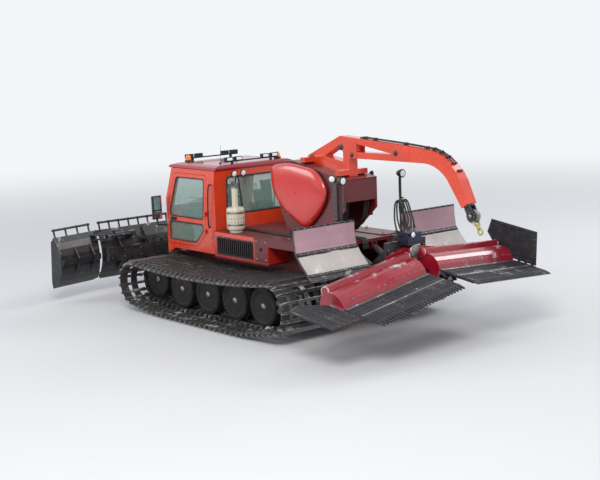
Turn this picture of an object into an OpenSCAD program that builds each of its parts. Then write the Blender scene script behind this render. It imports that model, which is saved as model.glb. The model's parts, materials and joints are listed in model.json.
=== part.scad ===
// Large tracked snow groomer with a slewing winch, a folding front blade and a rear tiller.
// X points forward, Y to the left, Z up; the ground is at z = 0.

/* [Tracks] */
// Width of each track
track_w = 1480; // [1300:10:1520]
// Distance between the middles of the two tracks
track_gauge = 2780; // [2760:10:3000]
// Place of the front idler wheel along the machine
idler_x = 2130; // [2000:10:2250]
// Place of the drive sprocket along the machine
sprocket_x = -2125; // [-2250:5:-2000]
// Height of the front idler wheel's axle
idler_z = 560; // [500:10:600]
// Height of the drive sprocket's axle
sprocket_z = 620; // [560:10:660]
// Radius at which the belts run round the sprocket
sprocket_r = 400; // [360:5:420]
// Diameter of the road tyres and of the idler's tyre
tyre_d = 740; // [660:10:780]
// Width of a road tyre
tyre_w = 210; // [160:10:260]
// Number of road wheels on each side, without the idler
road_wheels = 4; // [3:1:5]
// Spacing of the road wheels
wheel_pitch = 840; // [780:10:860]
// Thickness of the belts
belt_t = 15; // [10:1:25]
// Height of a cross bar above its belt
bar_h = 75; // [50:1:90]
// Distance from one cross bar to the next
bar_pitch = 156; // [140:1:220]

/* [Chassis] */
// Width of the welded tub between the tracks
tub_w = 1200; // [1080:10:1220]
// Height of the tub's floor above the ground
tub_z = 330; // [300:5:380]
// Thickness of the tub's walls
tub_t = 30; // [16:2:50]
// Length of the tub in front of the tracks' middle
tub_front = 2320; // [2200:10:2400]
// Length of the tub behind the tracks' middle
tub_rear = 2420; // [2350:10:2450]
// Height of the tub's top edge
tub_top = 1090; // [1060:5:1120]
// Height of the platform behind the cab
deck_z = 1600; // [1560:5:1650]
// Thickness of the platform
deck_t = 60; // [30:2:80]
// Length of the engine block
engine_l = 940; // [700:10:1000]
// Width of the engine block
engine_w = 780; // [600:10:900]

/* [Cab] */
// Width of the cab and of the body behind it
cab_w = 2100; // [1960:10:2140]
// Height of the cab's floor
cab_floor = 1150; // [1140:5:1200]
// Height of the cab's roof
roof_z = 2840; // [2760:10:2850]
// Place of the cab's rear wall
cab_rear = 760; // [740:5:820]
// Place of the nose
nose_x = 2490; // [2440:5:2520]
// Thickness of the cab's walls and doors
wall_t = 60; // [40:2:80]
// Thickness of the window glass
glass_t = 8; // [5:1:12]
// Height of the roof panel
roof_h = 100; // [80:2:140]

/* [Winch] */
// Place of the slewing ring's middle
winch_x = -950; // [-1000:5:-900]
// Radius of the slewing ring
ring_r = 430; // [380:5:460]
// Width over the tower's two side frames
tower_w = 800; // [740:10:860]
// Radius of the rope drum's flanges
drum_r = 390; // [330:5:410]
// Reach of the boom from the slewing axis to the middle of its head
boom_reach = 4010; // [3980:5:4120]
// Height of the boom's underside
boom_z = 3060; // [3040:5:3140]
// Width of the boom's box beam
boom_w = 200; // [150:5:240]
// Radius of the rope pulley in the boom's head
sheave_r = 120; // [100:5:130]

/* [Blade] */
// Width of the blade's middle panel
blade_w = 3100; // [2900:20:3200]
// Length of each folding wing
wing_l = 1190; // [1000:10:1250]
// Height of the mouldboard
blade_h = 1000; // [900:10:1050]
// Place of the mouldboard's back
blade_x = 4060; // [4000:10:4120]
// Height of the cutting edge above the ground
blade_lift_z = 300; // [200:10:400]
// Angle by which the wings are folded back
wing_back = 12; // [4:1:15]
// Thickness of the mouldboard
blade_t = 24; // [14:1:40]

/* [Tiller] */
// Length of the tiller's rotor from the middle to one end
rotor_l = 2080; // [1900:10:2140]
// Radius of the rotor's tube
rotor_r = 150; // [120:5:180]
// Radius over the tines
tine_r = 240; // [210:5:250]
// Height of the rotor's axle with the tiller raised
rotor_z = 1180; // [1130:5:1220]
// Place of the rotor's axle
rotor_x = -3720; // [-3760:5:-3700]
// Length of the comb mat behind the hood
comb_l = 760; // [600:10:860]
// Angle by which the left half droops
droop_left = 9.5; // [4:0.5:12]
// Angle by which the right half droops
droop_right = 3; // [0:0.5:14]
// Width of a side finisher
finisher_w = 620; // [500:10:640]

/* [Hidden] */
// Gap between a piece and its seat
seat = 0.3;
// Working gap between pieces that move past each other
gap = 8;
track_y = track_gauge / 2;
tyre_r = tyre_d / 2;
belt_in = bar_h + belt_t;
road_z = belt_in + tyre_r + seat;
road_x0 = 1290;
rim_r = tyre_r - 105;
arm_y = track_y - tyre_w / 2 - 70;
arm_t = 50;
axle_r = 45;

// Pins and ears of every pivot
pin_r = 30;
ear_t = 30;
eye_r = 65;
eye_half = 50;

// Pivots in the X-Z plane, and how far each arm is from the middle
blade_pivot = [2430, 520];
blade_arm_y = 350;
lower_pivot = [-2520, 640];
upper_pivot = [-2520, 1070];
frame_reach = [-740, 550];
lower_nose = lower_pivot + frame_reach;
upper_nose = upper_pivot + frame_reach;
tiller_arm_y = 380;
tiller_link_y = 100;

tow_at = [tub_front + 85, tub_z + 330];
tow_r = 27;
tow_t = 50;
half_tub = tub_w / 2;
half_cab = cab_w / 2;
body_z = cab_floor - 50;

// Points of an arc from angle a0 to a1
function arc(cx, cz, r, a0, a1, n) =
    [for (i = [0:n]) let (a = a0 + (a1 - a0) * i / n) [cx + r * cos(a), cz + r * sin(a)]];

// Outline with every edge moved inward by d; the points run anticlockwise
function inset(p, d) = [for (i = [0:len(p) - 1])
    let (
        a = p[(i + len(p) - 1) % len(p)], b = p[i], c = p[(i + 1) % len(p)],
        u = (b - a) / norm(b - a), v = (c - b) / norm(c - b),
        m = [-u.y, u.x], n = [-v.y, v.x]
    )
    b + d * (m + n) / (1 + m * n)];

// Outline with every corner cut to a round of radius r; the points run anticlockwise
function rounded(p, r, n = 4) = [for (i = [0:len(p) - 1])
    let (
        a = p[(i + len(p) - 1) % len(p)], b = p[i], c = p[(i + 1) % len(p)],
        u = (a - b) / norm(a - b), v = (c - b) / norm(c - b),
        q = min(r, norm(a - b) / 2.1, norm(c - b) / 2.1)
    )
    for (k = [0:n]) let (t = k / n) b + q * (u * pow(1 - t, 2) + v * pow(t, 2))];

// Moves a piece from the tracks' middle to the part's own origin
module placed() {
    translate([-mid_x, 0, 0]) children();
}

module both_sides() {
    children();
    mirror([0, 1, 0]) children();
}

// Plate whose X-Z outline runs from y0 to y1
module slab(points, y0, y1) {
    translate([0, y1, 0]) rotate([90, 0, 0]) linear_extrude(y1 - y0) polygon(points);
}

// Plate whose X-Y outline runs from z0 to z1
module plate(points, z0, z1) {
    translate([0, 0, z0]) linear_extrude(z1 - z0) polygon(points);
}

// Bar whose Y-Z outline runs from x0 to x1
module section(points, x0, x1) {
    translate([x0, 0, 0]) rotate([90, 0, 90]) linear_extrude(x1 - x0) polygon(points);
}

module block(x0, x1, y0, y1, z0, z1) {
    translate([x0, y0, z0]) cube([x1 - x0, y1 - y0, z1 - z0]);
}

module pin_x(y, z, r, x0, x1) {
    translate([x0, y, z]) rotate([0, 90, 0]) cylinder(r = r, h = x1 - x0, $fn = 32);
}

module pin_y(x, z, r, y0, y1) {
    translate([x, y1, z]) rotate([90, 0, 0]) cylinder(r = r, h = y1 - y0, $fn = 32);
}

module pin_z(x, y, r, z0, z1) {
    translate([x, y, z0]) cylinder(r = r, h = z1 - z0, $fn = 32);
}

// Straight round bar from point a to point b
module bar(a, b, r) {
    v = b - a;
    translate(a) rotate([0, acos(v.z / norm(v)), atan2(v.y, v.x)]) cylinder(r = r, h = norm(v), $fn = 24);
}

// Width of a link's web against its round ends
web = 0.96;

// Flat link in the X-Z plane from a to b, with round ends of radius ra and rb
module link(a, b, ra, rb, y0, y1) {
    u = (b - a) / norm(b - a);
    n = [-u.y, u.x];
    pin_y(a.x, a.y, ra, y0, y1);
    pin_y(b.x, b.y, rb, y0, y1);
    slab([a - web * ra * n, b - web * rb * n, b + web * rb * n, a + web * ra * n], y0, y1);
}

// Wheel axles: each row is the axle's x, z and the x and z of its arm's pivot on the tub
AXLE_X = 0;
AXLE_Z = 1;
PIVOT_X = 2;
PIVOT_Z = 3;
axles = concat(
    [[idler_x, idler_z, idler_x - 360, 640]],
    [for (i = [0:road_wheels - 1]) let (x = road_x0 - i * wheel_pitch) [x, road_z, x + 300, 650]]
);

module frame_tub() {
    outer = [
        [-tub_rear, tub_z + 200], [-tub_rear + 260, tub_z], [tub_front - 420, tub_z],
        [tub_front, tub_z + 260], [tub_front, tub_top], [-tub_rear, tub_top]
    ];
    inner = inset(outer, tub_t);
    hollow = [inner[0], inner[1], inner[2], inner[3],
        [tub_front - tub_t, tub_top + 1], [-tub_rear + tub_t, tub_top + 1]];
    color("firebrick") placed() {
        difference() {
            slab(outer, -half_tub, half_tub);
            slab(hollow, -half_tub + tub_t, half_tub - tub_t);
            cab_solid(-seat);
        }
        tub_ears();
        tow_lug();
    }
}

// Towing lug: a flat tongue with an upright bore
module tow_lug() {
    wide = tow_r + 38;
    difference() {
        union() {
            pin_z(tow_at.x, 0, wide, tow_at.y - tow_t, tow_at.y);
            block(tub_front + 10, tow_at.x, -wide + 1, wide - 1, tow_at.y - tow_t, tow_at.y);
            block(tub_front + seat, tub_front + 20, -110, 110, tow_at.y - tow_t - 12, tow_at.y + 40);
        }
        pin_z(tow_at.x, 0, tow_r, tow_at.y - tow_t - 1, tow_at.y + 1);
    }
}

// Two ears on one pin, on each side of an eye at (x, y, z); root is where they meet their wall
module ears(x, z, y, root, half = eye_half) {
    for (s = [-1, 1]) {
        a = y + s * (half + 2);
        b = a + s * ear_t;
        link([x, z], root, eye_r, eye_r, min(a, b), max(a, b));
    }
    pin_y(x, z, pin_r, y - half - ear_t, y + half + ear_t);
}

module tub_ears() {
    both_sides() {
        intersection() {
            union() {
                ears(blade_pivot.x, blade_pivot.y, blade_arm_y, [tub_front, blade_pivot.y + 100]);
                ears(blade_base.x, blade_base.y, blade_cyl_y, [tub_front, blade_base.y - 60], 30);
            }
            block(tub_front, tub_front + 400, 0, half_tub, 0, tub_top);
        }
        intersection() {
            union() {
                ears(lower_pivot.x, lower_pivot.y, tiller_arm_y, [-tub_rear, lower_pivot.y]);
                ears(upper_pivot.x, upper_pivot.y, tiller_link_y, [-tub_rear, upper_pivot.y - 60], 30);
            }
            block(-tub_rear - 400, -tub_rear, 0, half_tub, 0, tub_top + 100);
        }
    }
}

// Swing arm, its tube on the tub and its stub axle, one set for each wheel
module wheel_arms() {
    color("dimgray") placed() both_sides() for (a = axles) {
        pin_y(a[PIVOT_X], a[PIVOT_Z], 60, half_tub, arm_y);
        link([a[PIVOT_X], a[PIVOT_Z]], [a[AXLE_X], a[AXLE_Z]], 75, 65, arm_y, arm_y + arm_t);
        pin_y(a[AXLE_X], a[AXLE_Z], axle_r, arm_y + arm_t, track_y + 60);
    }
}

module road_tyres() {
    h = tyre_w / 2;
    profile = [
        [rim_r + seat, -h + 20], [tyre_r - 45, -h], [tyre_r, -h + 50],
        [tyre_r, h - 50], [tyre_r - 45, h], [rim_r + seat, h - 20]
    ];
    color("black") placed() both_sides() for (a = axles) {
        translate([a[AXLE_X], track_y, a[AXLE_Z]]) rotate([90, 0, 0])
            rotate_extrude($fn = 28) polygon(profile);
    }
}

module wheel_rims() {
    h = tyre_w / 2 - 25;
    profile = [
        [axle_r + seat, -60], [axle_r + 35, -60], [axle_r + 60, -20], [rim_r - 40, 20],
        [rim_r - 20, -h], [rim_r, -h], [rim_r, h], [rim_r - 20, h], [rim_r - 40, 45],
        [axle_r + 60, 10], [axle_r + 35, 60], [axle_r + seat, 60]
    ];
    color("gray") placed() both_sides() for (a = axles) {
        translate([a[AXLE_X], track_y, a[AXLE_Z]]) rotate([90, 0, 0])
            rotate_extrude($fn = 28) polygon(profile);
    }
}

// Two toothed discs on a drum, on each side
sprocket_teeth = 15;
hub_r = 150;
module drive_sprockets() {
    tip = sprocket_r - 6;
    step = 360 / sprocket_teeth;
    teeth = [for (i = [0:sprocket_teeth - 1]) for (q = [[-0.34, tip - 55], [-0.18, tip], [0.18, tip], [0.34, tip - 55]])
        [q[1] * cos(step * (i + q[0])), q[1] * sin(step * (i + q[0]))]];
    color("darkgray") placed() both_sides() translate([sprocket_x, track_y, sprocket_z]) rotate([90, 0, 0]) {
        for (y = [-190, 130]) {
            translate([0, 0, y]) linear_extrude(60) difference() {
                polygon(teeth);
                for (i = [0:4]) rotate(i * 72) translate([sprocket_r * 0.62, 0]) circle(r = 55, $fn = 24);
            }
        }
        translate([0, 0, -131]) cylinder(r = hub_r + 40, h = 262, $fn = 32);
    }
}

// Round gear housing between the tub and the sprocket on each side
module final_drives() {
    color("dimgray") placed() both_sides() {
        pin_y(sprocket_x, sprocket_z, 210, half_tub, half_tub + 180);
        pin_y(sprocket_x, sprocket_z, hub_r, half_tub + 180, track_y - 190);
    }
}

// Circles that the belts run round, anticlockwise: x, z and radius
belt_circles = [
    [sprocket_x, sprocket_z, sprocket_r],
    [road_x0 - (road_wheels - 1) * wheel_pitch, belt_in + tyre_r, tyre_r],
    [road_x0, belt_in + tyre_r, tyre_r],
    [idler_x, idler_z, tyre_r + 0.5]
];
belt_sag = 110;
sag_turn = atan(4 * belt_sag / (idler_x - sprocket_x));

// Outward angle of the straight run from circle a to circle b
function run_angle(a, b) = let (d = [b.x - a.x, b.y - a.y])
    atan2(d.y, d.x) - acos((a[2] - b[2]) / norm(d));

function up_from(a, low) = a < low ? up_from(a + 360, low) : a;

// Line of the belts, moved outward by add
function belt_line(add) = let (
        c = belt_circles,
        turn = [for (i = [0:3]) run_angle(c[i], c[(i + 1) % 4])],
        first = turn[3] - sag_turn,
        start = [first, turn[0], turn[1], turn[2]],
        stop = [turn[0], turn[1], turn[2], turn[3] + sag_turn],
        arcs = [for (i = [0:3]) let (
                s0 = start[i], s1 = up_from(stop[i], s0), n = max(1, ceil((s1 - s0) / 11))
            ) for (k = [0:n - 1]) let (a = s0 + (s1 - s0) * (k + 0.5) / n, r = (c[i][2] + add) / cos((s1 - s0) / 2 / n))
                [c[i].x + r * cos(a), c[i].y + r * sin(a)]],
        a = arcs[len(arcs) - 1], b = arcs[0], n = 12
    )
    concat(arcs, [for (i = [1:n - 1]) let (t = i / n) a + (b - a) * t - [0, 4 * belt_sag * t * (1 - t)]]);

// Distance along a closed line up to each of its points, back to the first
function lengths(p) = [for (i = 0, s = 0; i <= len(p);
    s = s + norm(p[(i + 1) % len(p)] - p[i % len(p)]), i = i + 1) s];

bar_base = 26;
bar_tip = 6;

module track(side) {
    inner = belt_line(0);
    outer = belt_line(belt_t);
    s = lengths(outer);
    n = len(outer);
    total = s[n];
    xs = [for (i = [0:n]) [s[i], outer[i % n].x]];
    zs = [for (i = [0:n]) [s[i], outer[i % n].y]];
    bars = round(total / bar_pitch);
    edge = [for (k = [0:bars - 1]) let (
            m = (k + 0.5) * total / bars,
            a = [lookup(m - bar_base, xs), lookup(m - bar_base, zs)],
            b = [lookup(m + bar_base, xs), lookup(m + bar_base, zs)],
            u = (b - a) / norm(b - a), v = [u.y, -u.x], c = (a + b) / 2
        ) for (q = [a, c - u * bar_tip + v * bar_h, c + u * bar_tip + v * bar_h, b]) q];
    y0 = side * track_y - track_w / 2;
    color("dimgray") placed() difference() {
        slab(edge, y0, y0 + track_w);
        slab(inner, y0 - 1, y0 + track_w + 1);
    }
}

module track_left() {
    track(1);
}

module track_right() {
    track(-1);
}

// One plain block on four feet, in place of the six-cylinder engine
module engine_block() {
    x0 = -tub_t - 350;
    foot = 90;
    floor_z = tub_z + tub_t;
    color("gray") placed() {
        block(x0, x0 + engine_l, -engine_w / 2, engine_w / 2, floor_z + foot, 1460);
        for (x = [x0 + 60, x0 + engine_l - 180]) for (y = [-1, 1])
            block(x, x + 120, y * 260 - 60, y * 260 + 60, floor_z, floor_z + foot);
    }
}

deck_rear = -2350;
deck_low = deck_z - deck_t;
pod_t = 30;
panel_rear = -900;
panel_t = 40;
grille = [[-470, 1160], [660, 1160], [660, 1510], [-470, 1510]];
lift_base = [-2290, deck_low - 75];
lift_base_y = 250;
bed_h = 14;
bracket_x = [deck_rear + 20, deck_rear + 700, panel_rear - 300];

// Platform behind the cab with its side walls on the tub and the floors over the tracks
module platform_deck() {
    front = cab_rear - 20;
    color("firebrick") placed() {
        block(deck_rear, front, -half_cab, half_cab, deck_low, deck_z);
        both_sides() {
            block(deck_rear, front, half_tub - tub_t, half_tub, tub_top, deck_low);
            block(panel_rear, front, half_tub, half_cab, body_z, body_z + pod_t);
            block(deck_rear, panel_rear, half_cab - 50, half_cab, deck_low - 90, deck_low);
            for (x = bracket_x)
                slab([[x, deck_low], [x + 40, deck_low], [x + 40, tub_top + 150], [x, tub_top + 150]],
                    half_tub, half_tub + 60);
            for (x = bracket_x)
                section([[half_tub, deck_low - 250], [half_cab - 50, deck_low - 90],
                    [half_cab - 50, deck_low], [half_tub, deck_low]], x, x + 40);
        }
        both_sides() plate(rounded([[deck_rear + 90, half_tub - 40], [panel_rear - 420, half_tub - 40],
            [panel_rear - 420, half_cab - 20], [deck_rear + 90, half_cab - 20]], 40, 3), deck_z - 1, deck_z + bed_h);
        for (y = [-1, 1])
            ears(lift_base.x, lift_base.y, y * lift_base_y, [lift_base.x, deck_low - 20], 30);
    }
}

// Outer wall of the engine bay on each side, open for its grille
module side_panels() {
    z0 = body_z + pod_t;
    outline = [[panel_rear, z0], [cab_rear - 20, z0], [cab_rear - 20, deck_low], [panel_rear, deck_low]];
    color("firebrick") placed() both_sides() difference() {
        union() {
            slab(outline, half_cab - panel_t, half_cab);
            block(panel_rear, panel_rear + panel_t, half_tub, half_cab, z0, deck_low);
        }
        slab(grille, half_cab - panel_t - 1, half_cab + 1);
    }
}

// Upright louvre bars in a frame
grille_bar = 26;
grille_step = 62;
module side_grilles() {
    g = inset(grille, seat);
    hole = inset(grille, 32);
    count = floor((hole[1].x - hole[0].x) / grille_step);
    color("black") placed() both_sides() {
        difference() {
            slab(g, half_cab - panel_t + 5, half_cab - 5);
            slab(hole, half_cab - panel_t, half_cab);
        }
        for (i = [0:count - 1]) let (x = hole[0].x + (i + 0.5) * grille_step)
            plate([[x, half_cab - panel_t + 5], [x + grille_bar, half_cab - panel_t + 5],
                [x + grille_bar - 16, half_cab - 8], [x - 16, half_cab - 8]], hole[0].y - 2, hole[2].y + 2);
    }
}

wall_top = roof_z - roof_h;
cab_bend = 1700;
cab_lean = 90;
sill_z = 1010;

// Outlines of the cab seen from the side, from the front and from above
cab_side = [
    [cab_rear, cab_floor], [2060, cab_floor], [2330, sill_z], [nose_x - 50, sill_z + 30],
    [nose_x, 1250], [nose_x - 15, 1700], [nose_x - 70, 1900], [2130, wall_top + 200], [cab_rear, wall_top + 200]
];
cab_front = [
    [-half_cab, sill_z - 100], [half_cab, sill_z - 100], [half_cab, cab_bend],
    [half_cab - cab_lean, roof_z + 100], [cab_lean - half_cab, roof_z + 100], [-half_cab, cab_bend]
];
nose_round = 240;
rear_round = 60;
cab_plan = concat(
    [[cab_rear, -half_cab + rear_round], [cab_rear + rear_round, -half_cab]],
    arc(nose_x - nose_round, -half_cab + nose_round, nose_round, -90, 0, 5),
    arc(nose_x - nose_round, half_cab - nose_round, nose_round, 0, 90, 5),
    [[cab_rear + rear_round, half_cab], [cab_rear, half_cab - rear_round]]
);

// The cab as a solid whose outside lies d inside the real one
module cab_solid(d) {
    intersection() {
        slab(inset(cab_side, d), -half_cab, half_cab);
        section(inset(cab_front, d), cab_rear, nose_x);
        plate(inset(cab_plan, d), sill_z - 10, wall_top + 300);
    }
}

module cab_layer(d0, d1) {
    difference() {
        cab_solid(d0);
        cab_solid(d1);
    }
}

door_rear = 1010;
door_base = [[door_rear, 1520], [1300, 1235], [2300, 1235], [2290, 1950], [2085, 2650], [door_rear, 2650]];
door_frame = 85;
door_bar = [1690, 1790];
windscreen = rounded([[-850, 1930], [850, 1930], [790, 2640], [-790, 2640]], 60, 3);
rear_window = rounded([[-700, 1880], [700, 1880], [680, 2600], [-680, 2600]], 60, 3);

// Outline of a door, d smaller all round
function door_edge(d) = rounded(inset(door_base, d), 60, 3);

module door_prism(d) {
    slab(door_edge(d), half_cab - 250, half_cab + 50);
}

// The two window openings of a door, d smaller all round
module door_windows(d) {
    intersection() {
        door_prism(door_frame + d);
        union() {
            block(800, 2500, half_cab - 250, half_cab + 50, 1200, door_bar[0] - d);
            block(800, 2500, half_cab - 250, half_cab + 50, door_bar[1] + d, 2800);
        }
    }
}

nose_top = 1850;
nose_rear = 2320;

// The region of the nose panel, d smaller all round
module nose_region(d) {
    block(nose_rear + d, nose_x + 50, -half_cab - 1, half_cab + 1, sill_z - 50, nose_top - d);
}

hinge_x = door_rear - 14;
hinge_y = half_cab + 30;
hinge_z = [1570, 1900];

// Pin of a door hinge with the lug that ties it to the pillar
module door_pins() {
    for (z = hinge_z) {
        pin_z(hinge_x, hinge_y, 11, z - 60, z + 60);
        for (h = [-60, 40])
            plate([[hinge_x - 60, half_cab - 40], [hinge_x - 8, half_cab - 40], [hinge_x + 11, hinge_y],
                [hinge_x + 6, hinge_y + 11], [hinge_x - 11, hinge_y + 11]], z + h, z + h + 20);
    }
}

module cab_shell() {
    color("orangered") placed() {
        difference() {
            cab_layer(0, wall_t);
            translate([0, 0, wall_top]) block(cab_rear - 10, nose_x + 10, -half_cab, half_cab, 0, 500);
            nose_region(0);
            section(windscreen, 1700, nose_x + 10);
            section(rear_window, cab_rear - 10, cab_rear + 200);
            both_sides() door_prism(0);
        }
        both_sides() {
            door_pins();
            for (x = [900, 1950])
                block(x, x + 140, half_tub - 90, half_tub - 5, tub_top, cab_floor + 5);
        }
    }
}

module nose_panel() {
    color("orangered") placed() intersection() {
        cab_layer(0, wall_t);
        nose_region(seat);
    }
}

// Crowned roof with a visor over the windscreen
module roof_panel() {
    side = rounded([[cab_rear - 40, wall_top], [2290, wall_top], [2270, wall_top + 45],
        [2060, roof_z], [cab_rear - 20, roof_z]], 40, 3);
    front = rounded([[-half_cab + cab_lean - 20, wall_top], [half_cab - cab_lean + 20, wall_top],
        [half_cab - cab_lean, wall_top + 60], [half_cab - 220, roof_z], [220 - half_cab, roof_z],
        [cab_lean - half_cab, wall_top + 60]], 40, 3);
    color("crimson") placed() intersection() {
        slab(side, -half_cab, half_cab);
        section(front, cab_rear - 100, nose_x);
    }
}

module cab_glass() {
    color("lightblue") placed() intersection() {
        cab_layer(26, 26 + glass_t);
        union() {
            section(inset(windscreen, seat), 1700, nose_x + 10);
            section(inset(rear_window, seat), cab_rear - 10, cab_rear + 200);
        }
    }
}

module door(side) {
    color("orangered") placed() mirror([0, side < 0 ? 1 : 0, 0]) {
        difference() {
            intersection() {
                cab_layer(0, wall_t);
                door_prism(gap);
            }
            door_windows(0);
            for (z = hinge_z) pin_z(hinge_x, hinge_y, 30, z - 62, z + 62);
        }
        for (z = hinge_z) difference() {
            union() {
                pin_z(hinge_x, hinge_y, 22, z - 38, z + 38);
                plate([[hinge_x, hinge_y - 12], [hinge_x + 75, half_cab - 25], [hinge_x + 75, half_cab + 5],
                    [hinge_x, hinge_y + 20]], z - 38, z + 38);
            }
            pin_z(hinge_x, hinge_y, 11 + seat, z - 40, z + 40);
        }
    }
}

module door_glass(side) {
    color("lightblue") placed() mirror([0, side < 0 ? 1 : 0, 0]) intersection() {
        cab_layer(26, 26 + glass_t);
        door_windows(seat);
    }
}

module door_left() {
    door(1);
}

module door_right() {
    door(-1);
}

module door_glass_left() {
    door_glass(1);
}

module door_glass_right() {
    door_glass(-1);
}

// Driver's seat on the left and a second seat, each with cushion, back and pillar
module cab_seats() {
    z = cab_floor + wall_t;
    color("dimgray") placed() for (y = [-480, 330]) {
        pin_z(1330, y, 90, z, z + 260);
        slab(rounded([[1080, z + 260], [1600, z + 260], [1620, z + 400], [1080, z + 380]], 40, 3), y - 240, y + 240);
        slab(rounded([[1080, z + 300], [1200, z + 390], [1120, z + 1030], [990, z + 1030]], 40, 3), y - 230, y + 230);
        slab(rounded([[985, z + 1025], [1075, z + 1025], [1060, z + 1220], [975, z + 1220]], 30, 3), y - 130, y + 130);
    }
}

// Dashboard under the windscreen with a screen and two levers on an armrest
module control_console() {
    z = cab_floor + wall_t + seat;
    color("black") placed() {
        slab(rounded([[1960, z + 380], [2230, z + 380], [2280, z + 620], [2040, z + 680]], 40, 3), -700, 700);
        block(1965, 2040, -80, 80, z, z + 400);
        slab(rounded([[1990, z + 700], [2030, z + 690], [2060, z + 900], [2020, z + 910]], 12, 2), -60, 240);
        block(2020, 2060, 60, 120, z + 640, z + 720);
        slab(rounded([[1180, z + 470], [1560, z + 500], [1560, z + 570], [1180, z + 550]], 25, 2), 600, 690);
        block(1250, 1330, 610, 680, z, z + 490);
        bar([1500, 645, z + 560], [1540, 645, z + 720], 14);
    }
}

// Closed outline of a band of thickness t along an open line
function strip(p, t) = let (
        n = len(p),
        side = [for (i = [0:n - 1]) let (
                u = p[min(i + 1, n - 1)] - p[max(i - 1, 0)], w = u / norm(u)
            ) [-w.y, w.x]]
    )
    concat([for (i = [0:n - 1]) p[i] - side[i] * t / 2], [for (i = [n - 1:-1:0]) p[i] + side[i] * t / 2]);

// Tall mirrors on stems at the front corners of the cab
module mirrors() {
    foot = [2385, half_cab - 110, 1560];
    elbow = [2400, half_cab + 175, 1600];
    color("black") placed() both_sides() {
        difference() {
            bar(foot, elbow, 16);
            cab_solid(-seat);
        }
        bar(elbow - [0, 0, 14], elbow + [0, 0, 130], 16);
        slab(rounded([[2375, 1710], [2425, 1710], [2435, 2180], [2385, 2180]], 15, 2),
            half_cab + 70, half_cab + 280);
    }
}

beacon_y = 720;
beacons_at = [[2000, beacon_y], [960, -beacon_y]];
module beacons() {
    color("orange") placed() for (p = beacons_at) {
        translate([p.x, p.y, roof_z]) rotate_extrude($fn = 28)
            polygon([[0, 0], [70, 0], [70, 30], [58, 38], [54, 110], [40, 132], [0, 138]]);
    }
}

// Lamp bars across the front and the rear of the roof
roof_lamps = [-560, -330, 330, 560];
module roof_lights() {
    color("black") placed() for (r = [[2140, 55 / 210], [830, 0]]) {
        for (y = [-480, 480])
            slab([for (x = [r.x - 20, r.x + 20]) [x, roof_z + seat - max(0, x - 2060) * r[1]],
                [r.x + 20, roof_z + 42], [r.x - 20, roof_z + 42]], y - 20, y + 20);
        block(r.x - 25, r.x + 25, -650, 650, roof_z + 40, roof_z + 62);
        for (y = roof_lamps) {
            block(r.x - 35, r.x + 35, y - 85, y + 85, roof_z + 62, roof_z + 132);
        }
    }
}

silencer = [300, 850];
module exhaust_stack() {
    color("lightgray") placed() translate([silencer.x, silencer.y, deck_z]) {
        rotate_extrude($fn = 32)
            polygon([[0, 0], [120, 0], [120, 40], [160, 60], [172, 100], [172, 430], [155, 470], [0, 480]]);
        translate([0, 0, 470]) cylinder(r = 58, h = 400, $fn = 28);
    }
}

// Sloped flaps behind the tracks, on arms from the platform
guard_y = [560, 1960];
guard_line = [[-2700, 2060], [-2712, 1850], [-2745, 1660], [-2860, 1500], [-3020, 1340], [-3150, 1215]];
guard_t = 16;
post_at = [-2560, 720];
module snow_guards() {
    color("dimgray") placed() both_sides() {
        slab(strip(guard_line, guard_t), guard_y[0], guard_y[1]);
        for (y = [post_at.y, 960])
            slab([[-2812, deck_low], [deck_rear, deck_low], [deck_rear, deck_z], [-2780, deck_z]],
                y - 35, y + 35);
    }
}

module rear_lamp_posts() {
    color("dimgray") placed() both_sides() {
        pin_z(post_at.x, post_at.y, 22, deck_z, 2760);
        bar([post_at.x, post_at.y, 2300], [post_at.x - 70, post_at.y, 2300], 14);
        translate([post_at.x, post_at.y, 2740]) rotate([0, -90, 0]) rotate_extrude($fn = 28)
            polygon([[0, -50], [50, -45], [75, 30], [75, 60], [0, 60]]);
    }
}

ring_h = 42;
ring_z = deck_z + ring_h;
module slew_base() {
    color("dimgray") placed() translate([winch_x, 0, deck_z]) difference() {
        cylinder(r = ring_r, h = ring_h, $fn = 64);
        translate([0, 0, -1]) cylinder(r = ring_r - 110, h = ring_h + 2, $fn = 64);
    }
}

// Outline of the tower's side frames and of its top plate
half_tower = tower_w / 2;
frame_t = 40;
top_line = [[-370, 2900], [-900, 2960], [-2290, 2674]];
drum_x = -1230;
drum_z = 2260;
drum_pin = 50;
tower_base = ring_z + seat;
tower_side = [
    [-1750, tower_base + 40], [-700, tower_base + 40], [-430, 2250], top_line[0], top_line[1], top_line[2],
    [-2290, 2150]
];

module winch_tower() {
    color("firebrick") placed() {
        translate([winch_x, 0, tower_base]) cylinder(r = ring_r - 10, h = 40, $fn = 64);
        difference() {
            both_sides() slab(tower_side, half_tower - frame_t, half_tower);
            pin_y(drum_x, drum_z, drum_pin + seat, -half_tower - 1, half_tower + 1);
        }
        slab(strip(top_line, 50), -half_tower, half_tower);
        block(-2290, -2250, -half_tower + frame_t, half_tower - frame_t, 2300, 2674);
        block(-500, -450, -half_tower + frame_t, half_tower - frame_t, 2300, 2700);
        block(-1750, -700, -half_tower + frame_t, half_tower - frame_t, tower_base + 30, tower_base + 70);
    }
}

// Crowned egg-shaped covers on both sides of the tower
cover_edge = rounded([
    [-1310, 1720], [-620, 2080], [-330, 2460], [-340, 2880], [-900, 2950], [-1640, 2850],
    [-1920, 2480], [-1740, 2120]
], 240, 4);
module winch_covers() {
    c = [-1100, 2400];
    layers = [[0, 1], [50, 1], [100, 0.9], [125, 0.72]];
    color("red") placed() both_sides() hull() for (l = layers)
        translate([c.x, half_tower + seat + 1 + l[0], c.y]) rotate([90, 0, 0])
            linear_extrude(1) scale(l[1]) polygon([for (p = cover_edge) p - c]);
}

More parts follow.
